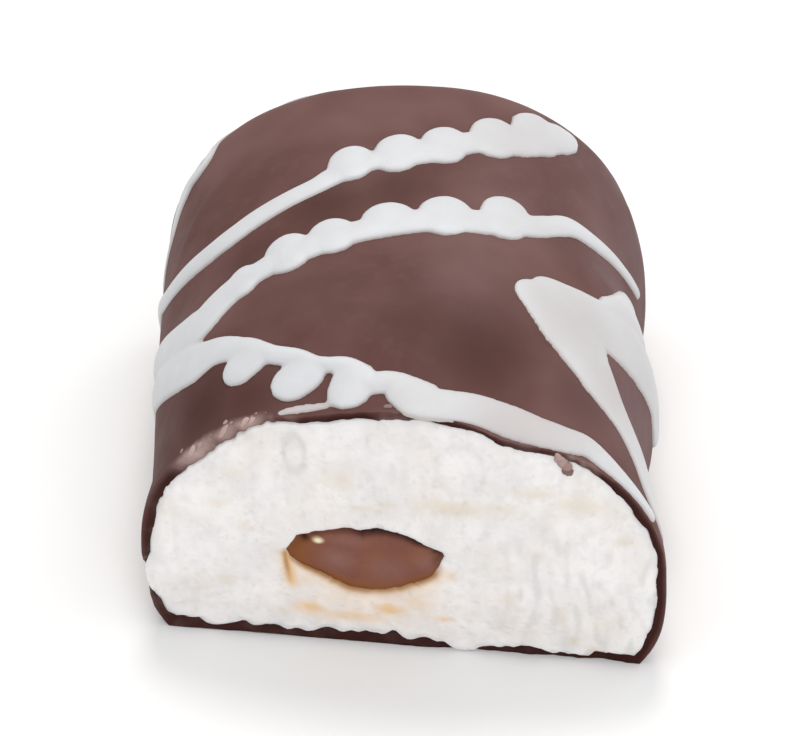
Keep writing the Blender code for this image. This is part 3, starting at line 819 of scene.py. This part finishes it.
def marshmallow_face(hole, edge):
    """Places over the cut in rings from the hole to the rim, and tints by name."""
    rows = [hole * (1 - share) + edge * share for share in np.linspace(0, 1, FACE_ROWS)]
    flat = np.concatenate(rows)
    x, z = flat.T
    moved_x = x + layered(on_face(x, z), PIT_SHIFT_X)
    moved_z = z + layered(on_face(x, z), PIT_SHIFT_Z)
    pores, dents = pits(moved_x, moved_z, *PORES), pits(moved_x, moved_z, *FACE_DENTS)
    from_edge = np.hypot(*(flat - np.tile(edge, (FACE_ROWS, 1))).T)
    from_hole = np.hypot(*(flat - np.tile(hole, (FACE_ROWS, 1))).T)
    ovals = oval_marks(x, z)
    out = cut_relief(x, z) - pores - dents - OVAL_DEPTH * ovals
    for (drop, reach), away in ((EDGE_DROP, from_edge), (HOLE_DROP, from_hole)):
        out -= drop * bell(away, reach)
    tan, amber = syrup_marks(x, z, from_hole)
    # Grey streaks, and painted shade in the pits and oval dents
    grey = pores * PORE_TINT + dents * DENT_TINT + ovals + streaks(x, z)
    tints = {
        "pore": GREY_STRENGTH * np.clip(grey, 0, 1),
        "speck": np.clip(TAN_TINT * soft_marks(x, z, TAN_MARKS, seed=35), 0, 1),
        "stain": np.maximum(soft_marks(x, z, STAINS, seed=38), tan),
        "amber": amber,
    }
    return np.stack([x, cut_y(x) - out, z], -1), tints


def build_marshmallow(finish):
    """The white body: a cut face round the filling, its skin, and the filling's channel."""
    angles = section_angles(FACE_COLUMNS, FACE_BASE_COLUMNS)
    columns = len(angles)
    inset = rim_thickness(angles) * EDGE_SHARE + EDGE_GAP
    edge_y = cut_y(section(angles)[0])
    edge = skin(angles, edge_y, inset)
    direction = np.arctan2(edge[:, 2] - FILLING_CENTRE[1], edge[:, 0] - FILLING_CENTRE[0])
    reach = filling_reach(direction) + HOLE_GAP + layered(edge, HOLE_LUMPS)
    hole = np.stack([np.cos(direction) * reach, np.sin(direction) * reach], -1) + FILLING_CENTRE
    face_places, tints = marshmallow_face(hole, edge[:, [0, 2]])

    shares = back_shares(WALL_RINGS)
    walls = inner_rings(angles, edge_y + WALL_START, inset, shares, WALL_END_RINGS)
    channel = []
    hole_y = cut_y(hole[:, 0])
    for share in back_shares(CHANNEL_RINGS)[::-1]:
        y = hole_y + CHANNEL_GAP + (FILLING_END_Y + CHANNEL_GAP - hole_y) * share
        channel.append(np.stack([hole[:, 0], y, hole[:, 1]], -1))
    rings = [*channel, *face_places.reshape(FACE_ROWS, columns, 3), *walls]
    channel_tip = [FILLING_CENTRE[0], FILLING_END_Y + CHANNEL_TIP_GAP, FILLING_CENTRE[1]]
    tips = [channel_tip, [0, FAR_END_Y - BODY_END_GAP, BELLY_HEIGHT]]
    plain = np.zeros(len(walls) * columns)
    values = {}
    for key, tint in tints.items():
        values[key] = np.concatenate([np.tile(tint[:columns], len(channel)), tint, plain])
    obj = closed_piece("marshmallow_body", rings, tips, finish, values)
    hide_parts("marshmallow")


# The filling

FILLING_COLUMNS, FILLING_FACE_RINGS, FILLING_BODY_RINGS = 300, 33, 8
FILLING_OVERLAP = 0.1  # how far its edge reaches into the channel's wall
FACE_FORWARD, MIDDLE_FORWARD = 0.06, 0.05
FILLING_LUMPS, GROOVE_LUMPS = ((0.05, 1.2, 1, 51), (0.03, 0.4, 1, 52)), (0.06, 0.7, 1, 53)
# The groove under the upper edge, with painted shade in it that is stronger from this X rightwards
GROOVE_IN, GROOVE_WIDTH, GROOVE_DEPTH = 0.3, 0.28, 0.3
GROOVE_LEAST, GROOVE_DARK_X, GROOVE_FADE = 0.3, -4.0, 2.5
PIT_DEPTH, FLECK_HEIGHT = 0.2, 0.12
# Syrup along the lower edge and at the left end
SYRUP_REACH, SYRUP_LEFT_X, SYRUP_LEFT_REACH, SYRUP_LEFT = 0.45, -6.2, 1.1, 0.85
# Painted shade on the filling's sides in its channel
BODY_DARK = 0.5

# Spots on the filling's face: X, Z, half width and half height. The pits are dented and painted
# dark as shade.
DARK_PITS = (
    (-5.55, 7.35, 0.3, 0.24), (-2.25, 8.05, 0.45, 0.16), (-3.5, 8.3, 0.35, 0.2),
    (2.3, 7.1, 0.35, 0.2),
)
PALE_FLECK = (-4.75, 7.3, 0.3, 0.22)
# Painted sheen: pale patches where light glances off the face, in the same numbers and with a
# strength
PALE_CLOUDS = (
    (-3.6, 6.0, 1.0, 0.8, 0.5), (1.5, 6.3, 0.7, 0.6, 0.4), (-2.9, 7.4, 1.3, 0.5, 0.35),
    (-0.8, 5.6, 1.3, 0.9, 0.35),
)


def filling_marks(x, z):
    """How deep the pits are, where the pale fleck is, and how strong the painted sheen is."""
    def near(cx, cz, wide, high):
        return bell(x - cx, wide) * bell(z - cz, high)
    pit = np.max([near(*spot) for spot in DARK_PITS], axis=0)
    cloud = np.max([much * near(*spot) for *spot, much in PALE_CLOUDS], axis=0)
    return pit, near(*PALE_FLECK), cloud


def filling_ring(unit, reach, share):
    """One ring of the filling's face, and its tints."""
    x, z = (unit * (reach * share)[:, None] + FILLING_CENTRE).T
    place, upness = on_face(x, z), unit[:, 1]
    from_edge = reach * (1 - share)
    groove = bell(from_edge - GROOVE_IN + layered(place, GROOVE_LUMPS), GROOVE_WIDTH)
    groove *= ramp(upness, -0.1, 0.5)
    pit, fleck, cloud = filling_marks(x, z)
    back = GROOVE_DEPTH * groove + PIT_DEPTH * pit - FLECK_HEIGHT * fleck - FACE_FORWARD
    back += layered(place, *FILLING_LUMPS)
    # Painted shade in the groove, stronger towards the right
    darkening = (1 - GROOVE_LEAST) * (x - GROOVE_DARK_X) / GROOVE_FADE
    thick = np.clip(GROOVE_LEAST + darkening, GROOVE_LEAST, 1)
    lower = ramp(-upness, -0.15, 0.5)
    left = SYRUP_LEFT * bell(x - SYRUP_LEFT_X, SYRUP_LEFT_REACH)
    tints = {
        # Painted shade in the groove and the pits
        "dark": np.maximum(groove * thick, pit),
        "amber": np.maximum(bell(from_edge, SYRUP_REACH) * lower, left),
        # Painted sheen
        "pale": cloud,
        "light": np.clip(1.4 * fleck - 0.2, 0, 1),
    }
    return np.stack([x, cut_y(x) + back, z], -1), tints


def build_filling(finish):
    """The cocoa filling: its cut face, and the bar that runs back from it."""
    direction = np.linspace(-math.pi, math.pi, FILLING_COLUMNS, endpoint=False)
    unit = np.stack([np.cos(direction), np.sin(direction)], -1)
    reach = filling_reach(direction) + FILLING_OVERLAP
    rings, tints = [], []
    for share in np.linspace(0, 1, FILLING_FACE_RINGS + 1)[1:]:
        ring, tint = filling_ring(unit, reach, share)
        rings.append(ring)
        tints.append(tint)
    plain = np.zeros(FILLING_COLUMNS)
    edge = rings[-1]
    for share in back_shares(FILLING_BODY_RINGS):
        y = edge[:, 1] + (FILLING_END_Y - edge[:, 1]) * share
        rings.append(np.stack([edge[:, 0], y, edge[:, 2]], -1))
        tints.append({**dict.fromkeys(tints[0], plain), "dark": plain + BODY_DARK})
    x, z = FILLING_CENTRE
    tips = [[x, cut_y(x) - MIDDLE_FORWARD, z], [x, FILLING_END_Y, z]]
    values = {name: [tint[name] for tint in tints] for name in tints[0]}
    obj = closed_piece("filling", rings, tips, finish, values)
    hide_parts("cocoa_filling")


# The icing. Each run goes through points: the angle round the section in degrees, the place
# along Y, and the half width and height in millimetres. A fifth number is for a run over the
# closed end: the share of the way out from the axis.

RUNS = {
    "end": (
        (55, 18.6, 0.45, 0.3, 0.1), (80, 18.6, 0.5, 0.32, 0.35), (95, 18.6, 0.55, 0.32, 0.62),
        (110, 18.3, 0.5, 0.26), (122, 17.9, 0.5, 0.2), (131, 17.2, 0.45, 0.14),
        (135.5, 16.4, 0.4, 0.12), (139, 15.2, 0.4, 0.14), (142, 14.0, 0.45, 0.26),
        (146, 13.6, 0.5, 0.32), (150.5, 13.5, 0.5, 0.32), (154, 13.0, 0.5, 0.32),
        (157.5, 12.4, 0.45, 0.28), (161, 11.4, 0.4, 0.22), (165, 10.6, 0.35, 0.16),
        (172, 10.2, 0.3, 0.15), (184, 10.4, 0.3, 0.15), (194, 11.0, 0.3, 0.13),
    ),
    "far": (
        (199, 10.4, 0.35, 0.2), (176, 7.4, 0.6, 0.3), (160.5, 4.2, 0.8, 0.36),
        (143, 2.9, 0.95, 0.4), (131.5, 2.9, 1.0, 0.4), (122.5, 3.5, 0.95, 0.38),
        (114, 4.2, 0.9, 0.36), (107, 4.9, 0.9, 0.34), (102.5, 5.7, 1.0, 0.33),
        (94.5, 6.7, 0.9, 0.34), (84.5, 7.6, 1.15, 0.36), (74.5, 9.2, 1.1, 0.36),
        (63, 10.5, 1.5, 0.37), (56.5, 12.0, 1.7, 0.37), (50.5, 12.9, 1.5, 0.36),
        (44, 14.0, 0.8, 0.28),
    ),
    "middle": (
        (198, 3.4, 0.45, 0.2), (178, 1.6, 0.9, 0.3), (169, 0.0, 1.2, 0.33),
        (156, -2.6, 1.7, 0.36), (147, -3.7, 1.9, 0.38), (140.5, -3.95, 1.8, 0.38),
        (135, -3.45, 1.6, 0.38), (129, -2.9, 1.4, 0.38), (121.5, -2.35, 1.1, 0.37),
        (108, -1.4, 1.3, 0.37), (97, -0.6, 1.15, 0.36), (84, 0.4, 1.25, 0.36),
        (71.5, 0.85, 1.3, 0.36), (59.5, 1.8, 1.1, 0.36), (51.5, 3.1, 0.95, 0.36),
        (45.5, 4.1, 0.95, 0.38), (34, 4.7, 0.75, 0.34), (19.5, 6.0, 0.5, 0.24),
        (5.5, 7.8, 0.35, 0.16),
    ),
    "near": (
        (190, -0.3, 0.5, 0.2), (178, -1.2, 1.1, 0.28), (169, -3.1, 1.5, 0.33),
        (155, -5.5, 1.75, 0.36), (147, -6.7, 1.75, 0.36), (141.5, -7.4, 1.6, 0.36),
        (134, -7.9, 1.15, 0.36), (127, -8.8, 0.9, 0.37), (123.5, -9.3, 0.85, 0.37),
        (117.5, -10.35, 0.7, 0.35), (111, -11.15, 0.7, 0.35), (106.5, -11.85, 0.6, 0.35),
        (103.5, -12.1, 0.55, 0.35), (99.5, -12.5, 0.75, 0.35), (96.5, -13.3, 1.0, 0.34),
        (94.5, -13.9, 0.9, 0.34), (90.5, -13.95, 0.85, 0.33), (88.5, -14.6, 1.3, 0.33),
        (85.5, -15.4, 1.6, 0.34), (83, -15.75, 1.45, 0.35), (78.5, -15.75, 1.3, 0.36),
        (73, -15.7, 1.3, 0.37), (66, -16.0, 1.35, 0.37), (59, -16.5, 1.2, 0.36),
        (52, -16.75, 1.15, 0.35), (46, -16.6, 1.0, 0.35), (40, -17.1, 0.95, 0.34),
        (34, -17.6, 0.75, 0.32), (27, -18.0, 0.55, 0.28), (18, -18.3, 0.4, 0.2),
    ),
    "near_leg": (
        (63.5, -4.5, 1.15, 0.34), (55, -5.6, 2.0, 0.34), (47, -7.1, 2.6, 0.33),
        (39, -8.7, 2.65, 0.32), (33.5, -10.0, 2.55, 0.32), (28, -11.2, 2.2, 0.32),
        (23.5, -12.6, 1.6, 0.32), (20, -14.1, 1.15, 0.3), (16.5, -15.6, 0.9, 0.26),
        (11, -16.9, 0.7, 0.15), (6, -17.5, 0.45, 0.07),
    ),
    "far_leg": (
        (59.5, -3.8, 1.0, 0.33), (52.5, -4.2, 1.5, 0.34), (45, -4.3, 1.9, 0.33),
        (35, -4.0, 2.2, 0.31), (26, -3.4, 2.3, 0.31), (17, -2.9, 2.3, 0.31),
        (9, -2.7, 2.0, 0.33), (3, -2.8, 1.5, 0.36), (-2, -3.0, 0.9, 0.36), (-5, -3.2, 0.5, 0.3),
    ),
    "back_leg": (
        (38, -2.6, 0.7, 0.26), (32, -1.5, 1.1, 0.28), (26, -0.4, 1.6, 0.3), (19, 1.0, 2.1, 0.3),
        (12, 2.4, 2.4, 0.3), (5, 3.6, 2.4, 0.3), (-1, 4.4, 2.0, 0.32), (-8, 4.8, 1.2, 0.32),
        (-13, 4.9, 0.6, 0.3),
    ),
    "web": ((42, -6.2, 1.2, 0.24), (36.5, -6.8, 1.2, 0.2), (31, -7.3, 0.8, 0.09)),
    "smear": ((116, -14.75, 0.25, 0.04), (110.5, -14.7, 0.4, 0.07), (102.5, -14.9, 0.28, 0.05)),
}

# Lobes where the falling thread folded back on itself: angle and Y at the tip towards the
# cut, then at the other tip, and the half width
LOBES = (
    (100, 4.9, 98.3, 8.6, 1.5), (91.5, 5.6, 88.2, 9.55, 1.55), (82, 6.6, 79, 10.55, 1.55),
    (70.2, 8.1, 67.2, 12.35, 1.6), (58, 9.9, 56.5, 14.3, 1.75), (51, 11.6, 49.8, 14.3, 1.6),
    (127.5, -4.2, 125, -1.15, 1.3), (113.5, -3.5, 114, 0.45, 1.6), (102.5, -2.6, 103.5, 1.05, 1.6),
    (91.5, -1.3, 90.5, 2.25, 1.85), (80.5, -1.1, 79.5, 3.05, 1.8), (68, -0.4, 64, 4.1, 1.65),
    (131.5, -10.8, 118.5, -9.6, 1.3), (116.8, -13.3, 104.6, -11.8, 1.4),
    (100.3, -15.5, 96.5, -12.4, 1.45),
)
LOBE_HEIGHT = 0.4
# Where the icing is thin enough to look a little darker: angle, Y, reach and how much
THIN_SPOTS = (
    (62, -16.5, 4.5, 0.6), (45, -6.5, 4.5, 0.5), (30, -10.0, 4.0, 0.55), (22, -3.0, 4.0, 0.3),
    (8, 2.5, 4.0, 0.3), (85, -15.8, 3.0, 0.25), (60, 1.8, 3.0, 0.15), (60, 10.5, 4.0, 0.35),
    (72, -15.8, 3.0, 0.3),
)
THIN_STRENGTH, THIN_HEIGHT, THIN_FADE = 0.8, 0.03, 0.17

GUIDE_COLUMNS, GUIDE_BASE_COLUMNS, GUIDE_RINGS, GUIDE_END_RINGS = 260, 20, 120, 24
GUIDE_OVERRUN = 6.0  # how far in front of the cut the skin goes on
RUN_STEP = 0.3
RUN_PROFILE_POINTS = 13
RUN_EDGE_POWER, RUN_CROWN = 2.0, 0.6
TIP_POWER, TIP_LEAST = 0.7, 0.1  # how a run's height falls off at its ends
LEAST_HALF_WIDTH = 0.05
UNDERSIDE_SHARES = (0.9, 0.0, -0.9)
ICING_SINK = 0.2
ICING_VOXEL, ICING_SMOOTHING = 0.13, 5


def fine_skin():
    """The skin that the icing is laid on, which goes on in front of the cut."""
    angles = section_angles(GUIDE_COLUMNS, GUIDE_BASE_COLUMNS)
    along = np.linspace(CUT_Y - GUIDE_OVERRUN, FAR_END_Y - TOP_ROUNDING, GUIDE_RINGS)
    rings = [skin(angles, y) for y in along] + end_rings(angles, GUIDE_END_RINGS)
    rings.append(closed_end(angles, math.pi / 2))
    faces = ring_faces(len(rings), len(angles))
    return BVHTree.FromPolygons(np.concatenate(rings).tolist(), faces)


def guide_place(angle, y, share=1.0):
    """A place on the skin, or a share of the way out to it from the axis."""
    place = skin(np.array([math.radians(angle)]), np.array([y]))[0]
    middle = Vector((0, y, BELLY_HEIGHT))
    return middle + (Vector(place) - middle) * share


def between(a, b, c, d, t):
    """Catmull-Rom interpolation from b to c."""
    return 0.5 * (
        2 * b + (c - a) * t + (2 * a - 5 * b + 4 * c - d) * t * t
        + (3 * b - a - 3 * c + d) * t**3
    )


def run_samples(guides):
    """Place, half width and height at even steps along a run."""
    places = [guide_place(g[0], g[1], *g[4:]) for g in guides]
    sizes = [Vector(g[2:4]) for g in guides]
    padded = [places[0], *places, places[-1]]
    samples = []
    for i, four in enumerate(zip(padded, padded[1:], padded[2:], padded[3:])):
        steps = max(round((four[2] - four[1]).length / RUN_STEP), 2)
        for t in np.arange(steps) / steps:
            samples.append((between(*four, t), sizes[i].lerp(sizes[i + 1], t)))
    return [*samples, (places[-1], sizes[-1])]


def rounded_ends(samples):
    """The same run with half-round ends."""
    lengths = [0.0]
    for (a, _), (b, _) in zip(samples, samples[1:]):
        lengths.append(lengths[-1] + (b - a).length)
    whole = lengths[-1]
    done = []
    for (place, (width, height)), length in zip(samples, lengths):
        left = min(length, whole - length) / width
        swell = math.sqrt(1 - (1 - min(left, 1)) ** 2)
        height *= max(swell, TIP_LEAST) ** TIP_POWER
        done.append((place, max(width * swell, LEAST_HALF_WIDTH), height))
    return done


def lay_run(bm, guides, on_skin):
    """Adds one run of icing to a mesh, as a closed bead that follows the skin."""
    samples = rounded_ends(run_samples(guides))
    last = len(samples) - 1
    shares = np.linspace(-1, 1, RUN_PROFILE_POINTS)
    rises = (1 - np.abs(shares) ** RUN_EDGE_POWER) ** RUN_CROWN
    profile = [(share, rise, 0) for share, rise in zip(shares, rises)]
    profile += [(share, 0, ICING_SINK) for share in UNDERSIDE_SHARES]
    rings = []
    for i, (place, width, height) in enumerate(samples):
        ahead = samples[min(i + 1, last)][0] - samples[max(i - 1, 0)][0]
        place, normal = on_skin.find_nearest(place)[:2]
        aside = ahead.cross(normal).normalized()
        ring = []
        for share, rise, sink in profile:
            point, out = on_skin.find_nearest(place + aside * width * share)[:2]
            ring.append(bm.verts.new(point + out * height * rise - out * sink))
        rings.append(ring)
    for ring, following in zip(rings, rings[1:]):
        for i in range(len(ring)):
            bm.faces.new((ring[i - 1], ring[i], following[i], following[i - 1]))
    bm.faces.new(rings[0])
    bm.faces.new(rings[-1])


def merged(bm):
    """Overlapping runs as one smooth surface: places and faces."""
    mesh = bpy.data.meshes.new("runs")
    bmesh.ops.triangulate(bm, faces=bm.faces)
    bmesh.ops.recalc_face_normals(bm, faces=bm.faces)
    bm.to_mesh(mesh)
    bm.free()
    obj = linked("runs", mesh)
    remesh = obj.modifiers.new("merge", "REMESH")
    remesh.mode = "VOXEL"
    remesh.voxel_size = ICING_VOXEL
    smooth = obj.modifiers.new("soften", "SMOOTH")
    smooth.iterations = ICING_SMOOTHING
    bpy.context.view_layer.update()
    graph = bpy.context.evaluated_depsgraph_get()
    done = bpy.data.meshes.new_from_object(obj.evaluated_get(graph))
    bpy.data.objects.remove(obj)
    places = np.array([vert.co for vert in done.vertices], float)
    faces = [tuple(face.vertices) for face in done.polygons]
    bpy.data.meshes.remove(done)
    return places, faces


def build_icing(finish):
    """The threads and lobes of icing as one body, duller where it is thin."""
    on_skin = fine_skin()
    bm = bmesh.new()
    for guides in RUNS.values():
        lay_run(bm, guides, on_skin)
    for near_angle, near_y, far_angle, far_y, width in LOBES:
        tips = ((near_angle, near_y), (far_angle, far_y))
        lay_run(bm, [(*tip, width, LOBE_HEIGHT) for tip in tips], on_skin)
    places, faces = merged(bm)
    height = []
    for place in places:
        nearest, out = on_skin.find_nearest(Vector(place))[:2]
        height.append((Vector(place) - nearest).dot(out))
    thin = (1 - ramp(np.array(height), THIN_HEIGHT, THIN_FADE)) * THIN_STRENGTH
    thin = np.maximum(thin, blobs(places, THIN_SPOTS, seed=14))
    new_piece("icing_drizzle", places, faces, finish, {"thin": thin})


# The crumbs

# Lumps that the knife left on the rim: angle, Y from the cut, size, lift off the skin, how
# pale and how thick for its size
COAT_CRUMBS = (
    (142.5, 0.3, 0.4, -0.08, 0.8, 0.3), (139.5, 0.2, 0.3, -0.05, 0.55, 0.3),
    (131, 0.3, 0.42, -0.08, 0.7, 0.3), (124.5, 0.35, 0.36, -0.06, 0.8, 0.3),
    (122.5, 0.25, 0.3, -0.04, 0.75, 0.3), (91, 0.55, 0.24, 0.0, 0.3, 0.35),
    (52.6, 0.0, 0.34, -0.45, 0.6, 0.8), (51, -0.05, 0.4, -0.6, 0.55, 0.8),
    (49.3, -0.05, 0.42, -0.75, 0.4, 0.8), (48, -0.1, 0.34, -1.0, 0.15, 0.9),
)
CRUMB_COUNT, CRUMB_SEED = 7, 61  # of the small ones scattered between them
CRUMBS_FROM, CRUMBS_TO, CRUMBS_BACK, CRUMBS_CROWDING = 116, 149, 0.9, 1.5
CRUMB_SIZE, CRUMB_PALE = (0.08, 0.14), (0.25, 0.4)  # the least, and how much more at most
CRUMB_FLATNESS, CRUMB_LENGTH = 0.35, 0.8
# A crumb's lumps: strength, how many over its size, and how far the next seed's lie
CRUMB_LUMPS = ((0.35, 1.2, (5.1, 0, 0)), (0.06, 2.6, (0, 3.3, 0)))


def crumb(bm, place, size, flatness, seed):
    """One rough lump lying flat on the skin."""
    out = Vector((place.x, 0, place.z - BELLY_HEIGHT)).normalized()
    along = Vector((0, 1, 0))
    across = along.cross(out)
    for vert in bmesh.ops.create_icosphere(bm, subdivisions=3, radius=1.0)["verts"]:
        bump = 1
        for strength, scale, step in CRUMB_LUMPS:
            bump += strength * noise.noise(vert.co * scale + Vector(step) * seed)
        x, y, z = vert.co * size * bump
        vert.co = place + across * x + along * y * CRUMB_LENGTH + out * z * flatness
        vert.co.z = max(vert.co.z, 0)


def build_crumbs(finish):
    """Pale chips and crumbs of the coating along the rim."""
    random = np.random.default_rng(CRUMB_SEED)
    crumbs = list(COAT_CRUMBS)
    for _ in range(CRUMB_COUNT):
        angle = random.uniform(CRUMBS_FROM, CRUMBS_TO)
        behind, size, pale = random.random(3)
        behind = CRUMBS_BACK * behind**CRUMBS_CROWDING
        size = CRUMB_SIZE[0] + CRUMB_SIZE[1] * size**2
        pale = CRUMB_PALE[0] + CRUMB_PALE[1] * pale
        crumbs.append((angle, behind, size, 0.0, pale, CRUMB_FLATNESS))
    bm = bmesh.new()
    fringe = []
    for seed, (angle, behind, size, lift, pale, flatness) in enumerate(crumbs):
        turn = np.array([math.radians(angle)])
        y = cut_y(section(turn)[0]) + behind
        crumb(bm, Vector(skin(turn, y, -lift)[0]), size, flatness, seed)
        fringe += [pale] * (len(bm.verts) - len(fringe))
    places = np.array([vert.co for vert in bm.verts])
    faces = [tuple(vert.index for vert in face.verts) for face in bm.faces]
    bm.free()
    values = dict.fromkeys(("cut", "shade", "bloom"), np.zeros(len(places)))
    values["fringe"] = fringe
    new_piece("rim_crumbs", places, faces, finish, values)


# The stage, in metres

CAMERA_PLACE = Vector((8.86, -352.23, 257.4)) * MM
CAMERA_TARGET = Vector((0.0, 0.0, 8.5)) * MM
CAMERA_ROLL = math.radians(1.835)
CAMERA_LENS = 321.3

FLOOR_CORNERS = ((-3, -3, 0), (3, -3, 0), (3, 3, 0), (-3, 3, 0))
FLOOR_Z = -0.02 * MM
# Each disk light's name, place, size, power and colour
LIGHTS = (
    ("key", (0.02, 0.45, 0.85), 0.4, 3.6, (1.0, 0.97, 0.93)),
    ("back_right", (0.55, 0.4, 0.55), 0.5, 0.8, (1.0, 1.0, 1.0)),
    ("front", (0.1, -0.85, 0.4), 0.7, 3.0, (1.0, 1.0, 1.0)),
)
BRIGHT_SIDE = (0.15, 0.15, 1.0)


def build_camera():
    data = bpy.data.cameras.new("camera")
    data.lens = CAMERA_LENS
    data.clip_start, data.clip_end = 0.01, 10.0
    camera = linked("camera", data)
    back = (CAMERA_PLACE - CAMERA_TARGET).normalized()
    aimed = back.to_track_quat("Z", "Y").to_matrix().to_4x4()
    rolled = aimed @ Matrix.Rotation(-CAMERA_ROLL, 4, "Z")
    camera.matrix_world = Matrix.Translation(CAMERA_PLACE) @ rolled
    bpy.context.scene.camera = camera


def area_light(name, place, size, power, colour):
    data = bpy.data.lights.new(name, "AREA")
    data.shape = "DISK"
    data.size, data.energy, data.color = size, power, colour
    obj = linked(name, data)
    obj.location = place
    obj.rotation_mode = "QUATERNION"
    obj.rotation_quaternion = (Vector(place) - CAMERA_TARGET).to_track_quat("Z", "Y")


def build_stage():
    """The pale floor, the studio's soft light and the lamps."""
    mesh = bpy.data.meshes.new("floor")
    mesh.from_pydata(FLOOR_CORNERS, [], [(0, 1, 2, 3)])
    mesh.materials.append(new_material("floor", FLOOR_COLOUR, roughness=0.6, specular=0.2)[0])
    floor = linked("floor", mesh)
    floor.location.z = FLOOR_Z
    build_world()
    bpy.context.scene.view_settings.view_transform = "Standard"
    for light in LIGHTS:
        area_light(*light)


def build_world():
    """Soft light that is brighter from above and from the right, as in a studio tent."""
    world = bpy.data.worlds.new("studio")
    world.use_nodes = True
    tree = world.node_tree
    towards = tree.nodes.new("ShaderNodeVectorMath")
    towards.operation = "DOT_PRODUCT"
    towards.inputs[1].default_value = BRIGHT_SIDE
    tree.links.new(new_node(tree, "TexCoord", "Generated"), towards.inputs[0])
    facing = towards.outputs["Value"]
    strength = spread_node(tree, facing, low=-0.7, high=1.0, to_low=0.4, to_high=0.88)
    fill_in(tree, tree.nodes["Background"], Color=(1.0, 1.0, 1.0, 1.0), Strength=strength)
    bpy.context.scene.world = world


chocolate = chocolate_finish()
build_coating(chocolate)
build_marshmallow(marshmallow_finish())
build_filling(filling_finish())
build_icing(icing_finish())
build_crumbs(chocolate)
build_camera()
build_stage()
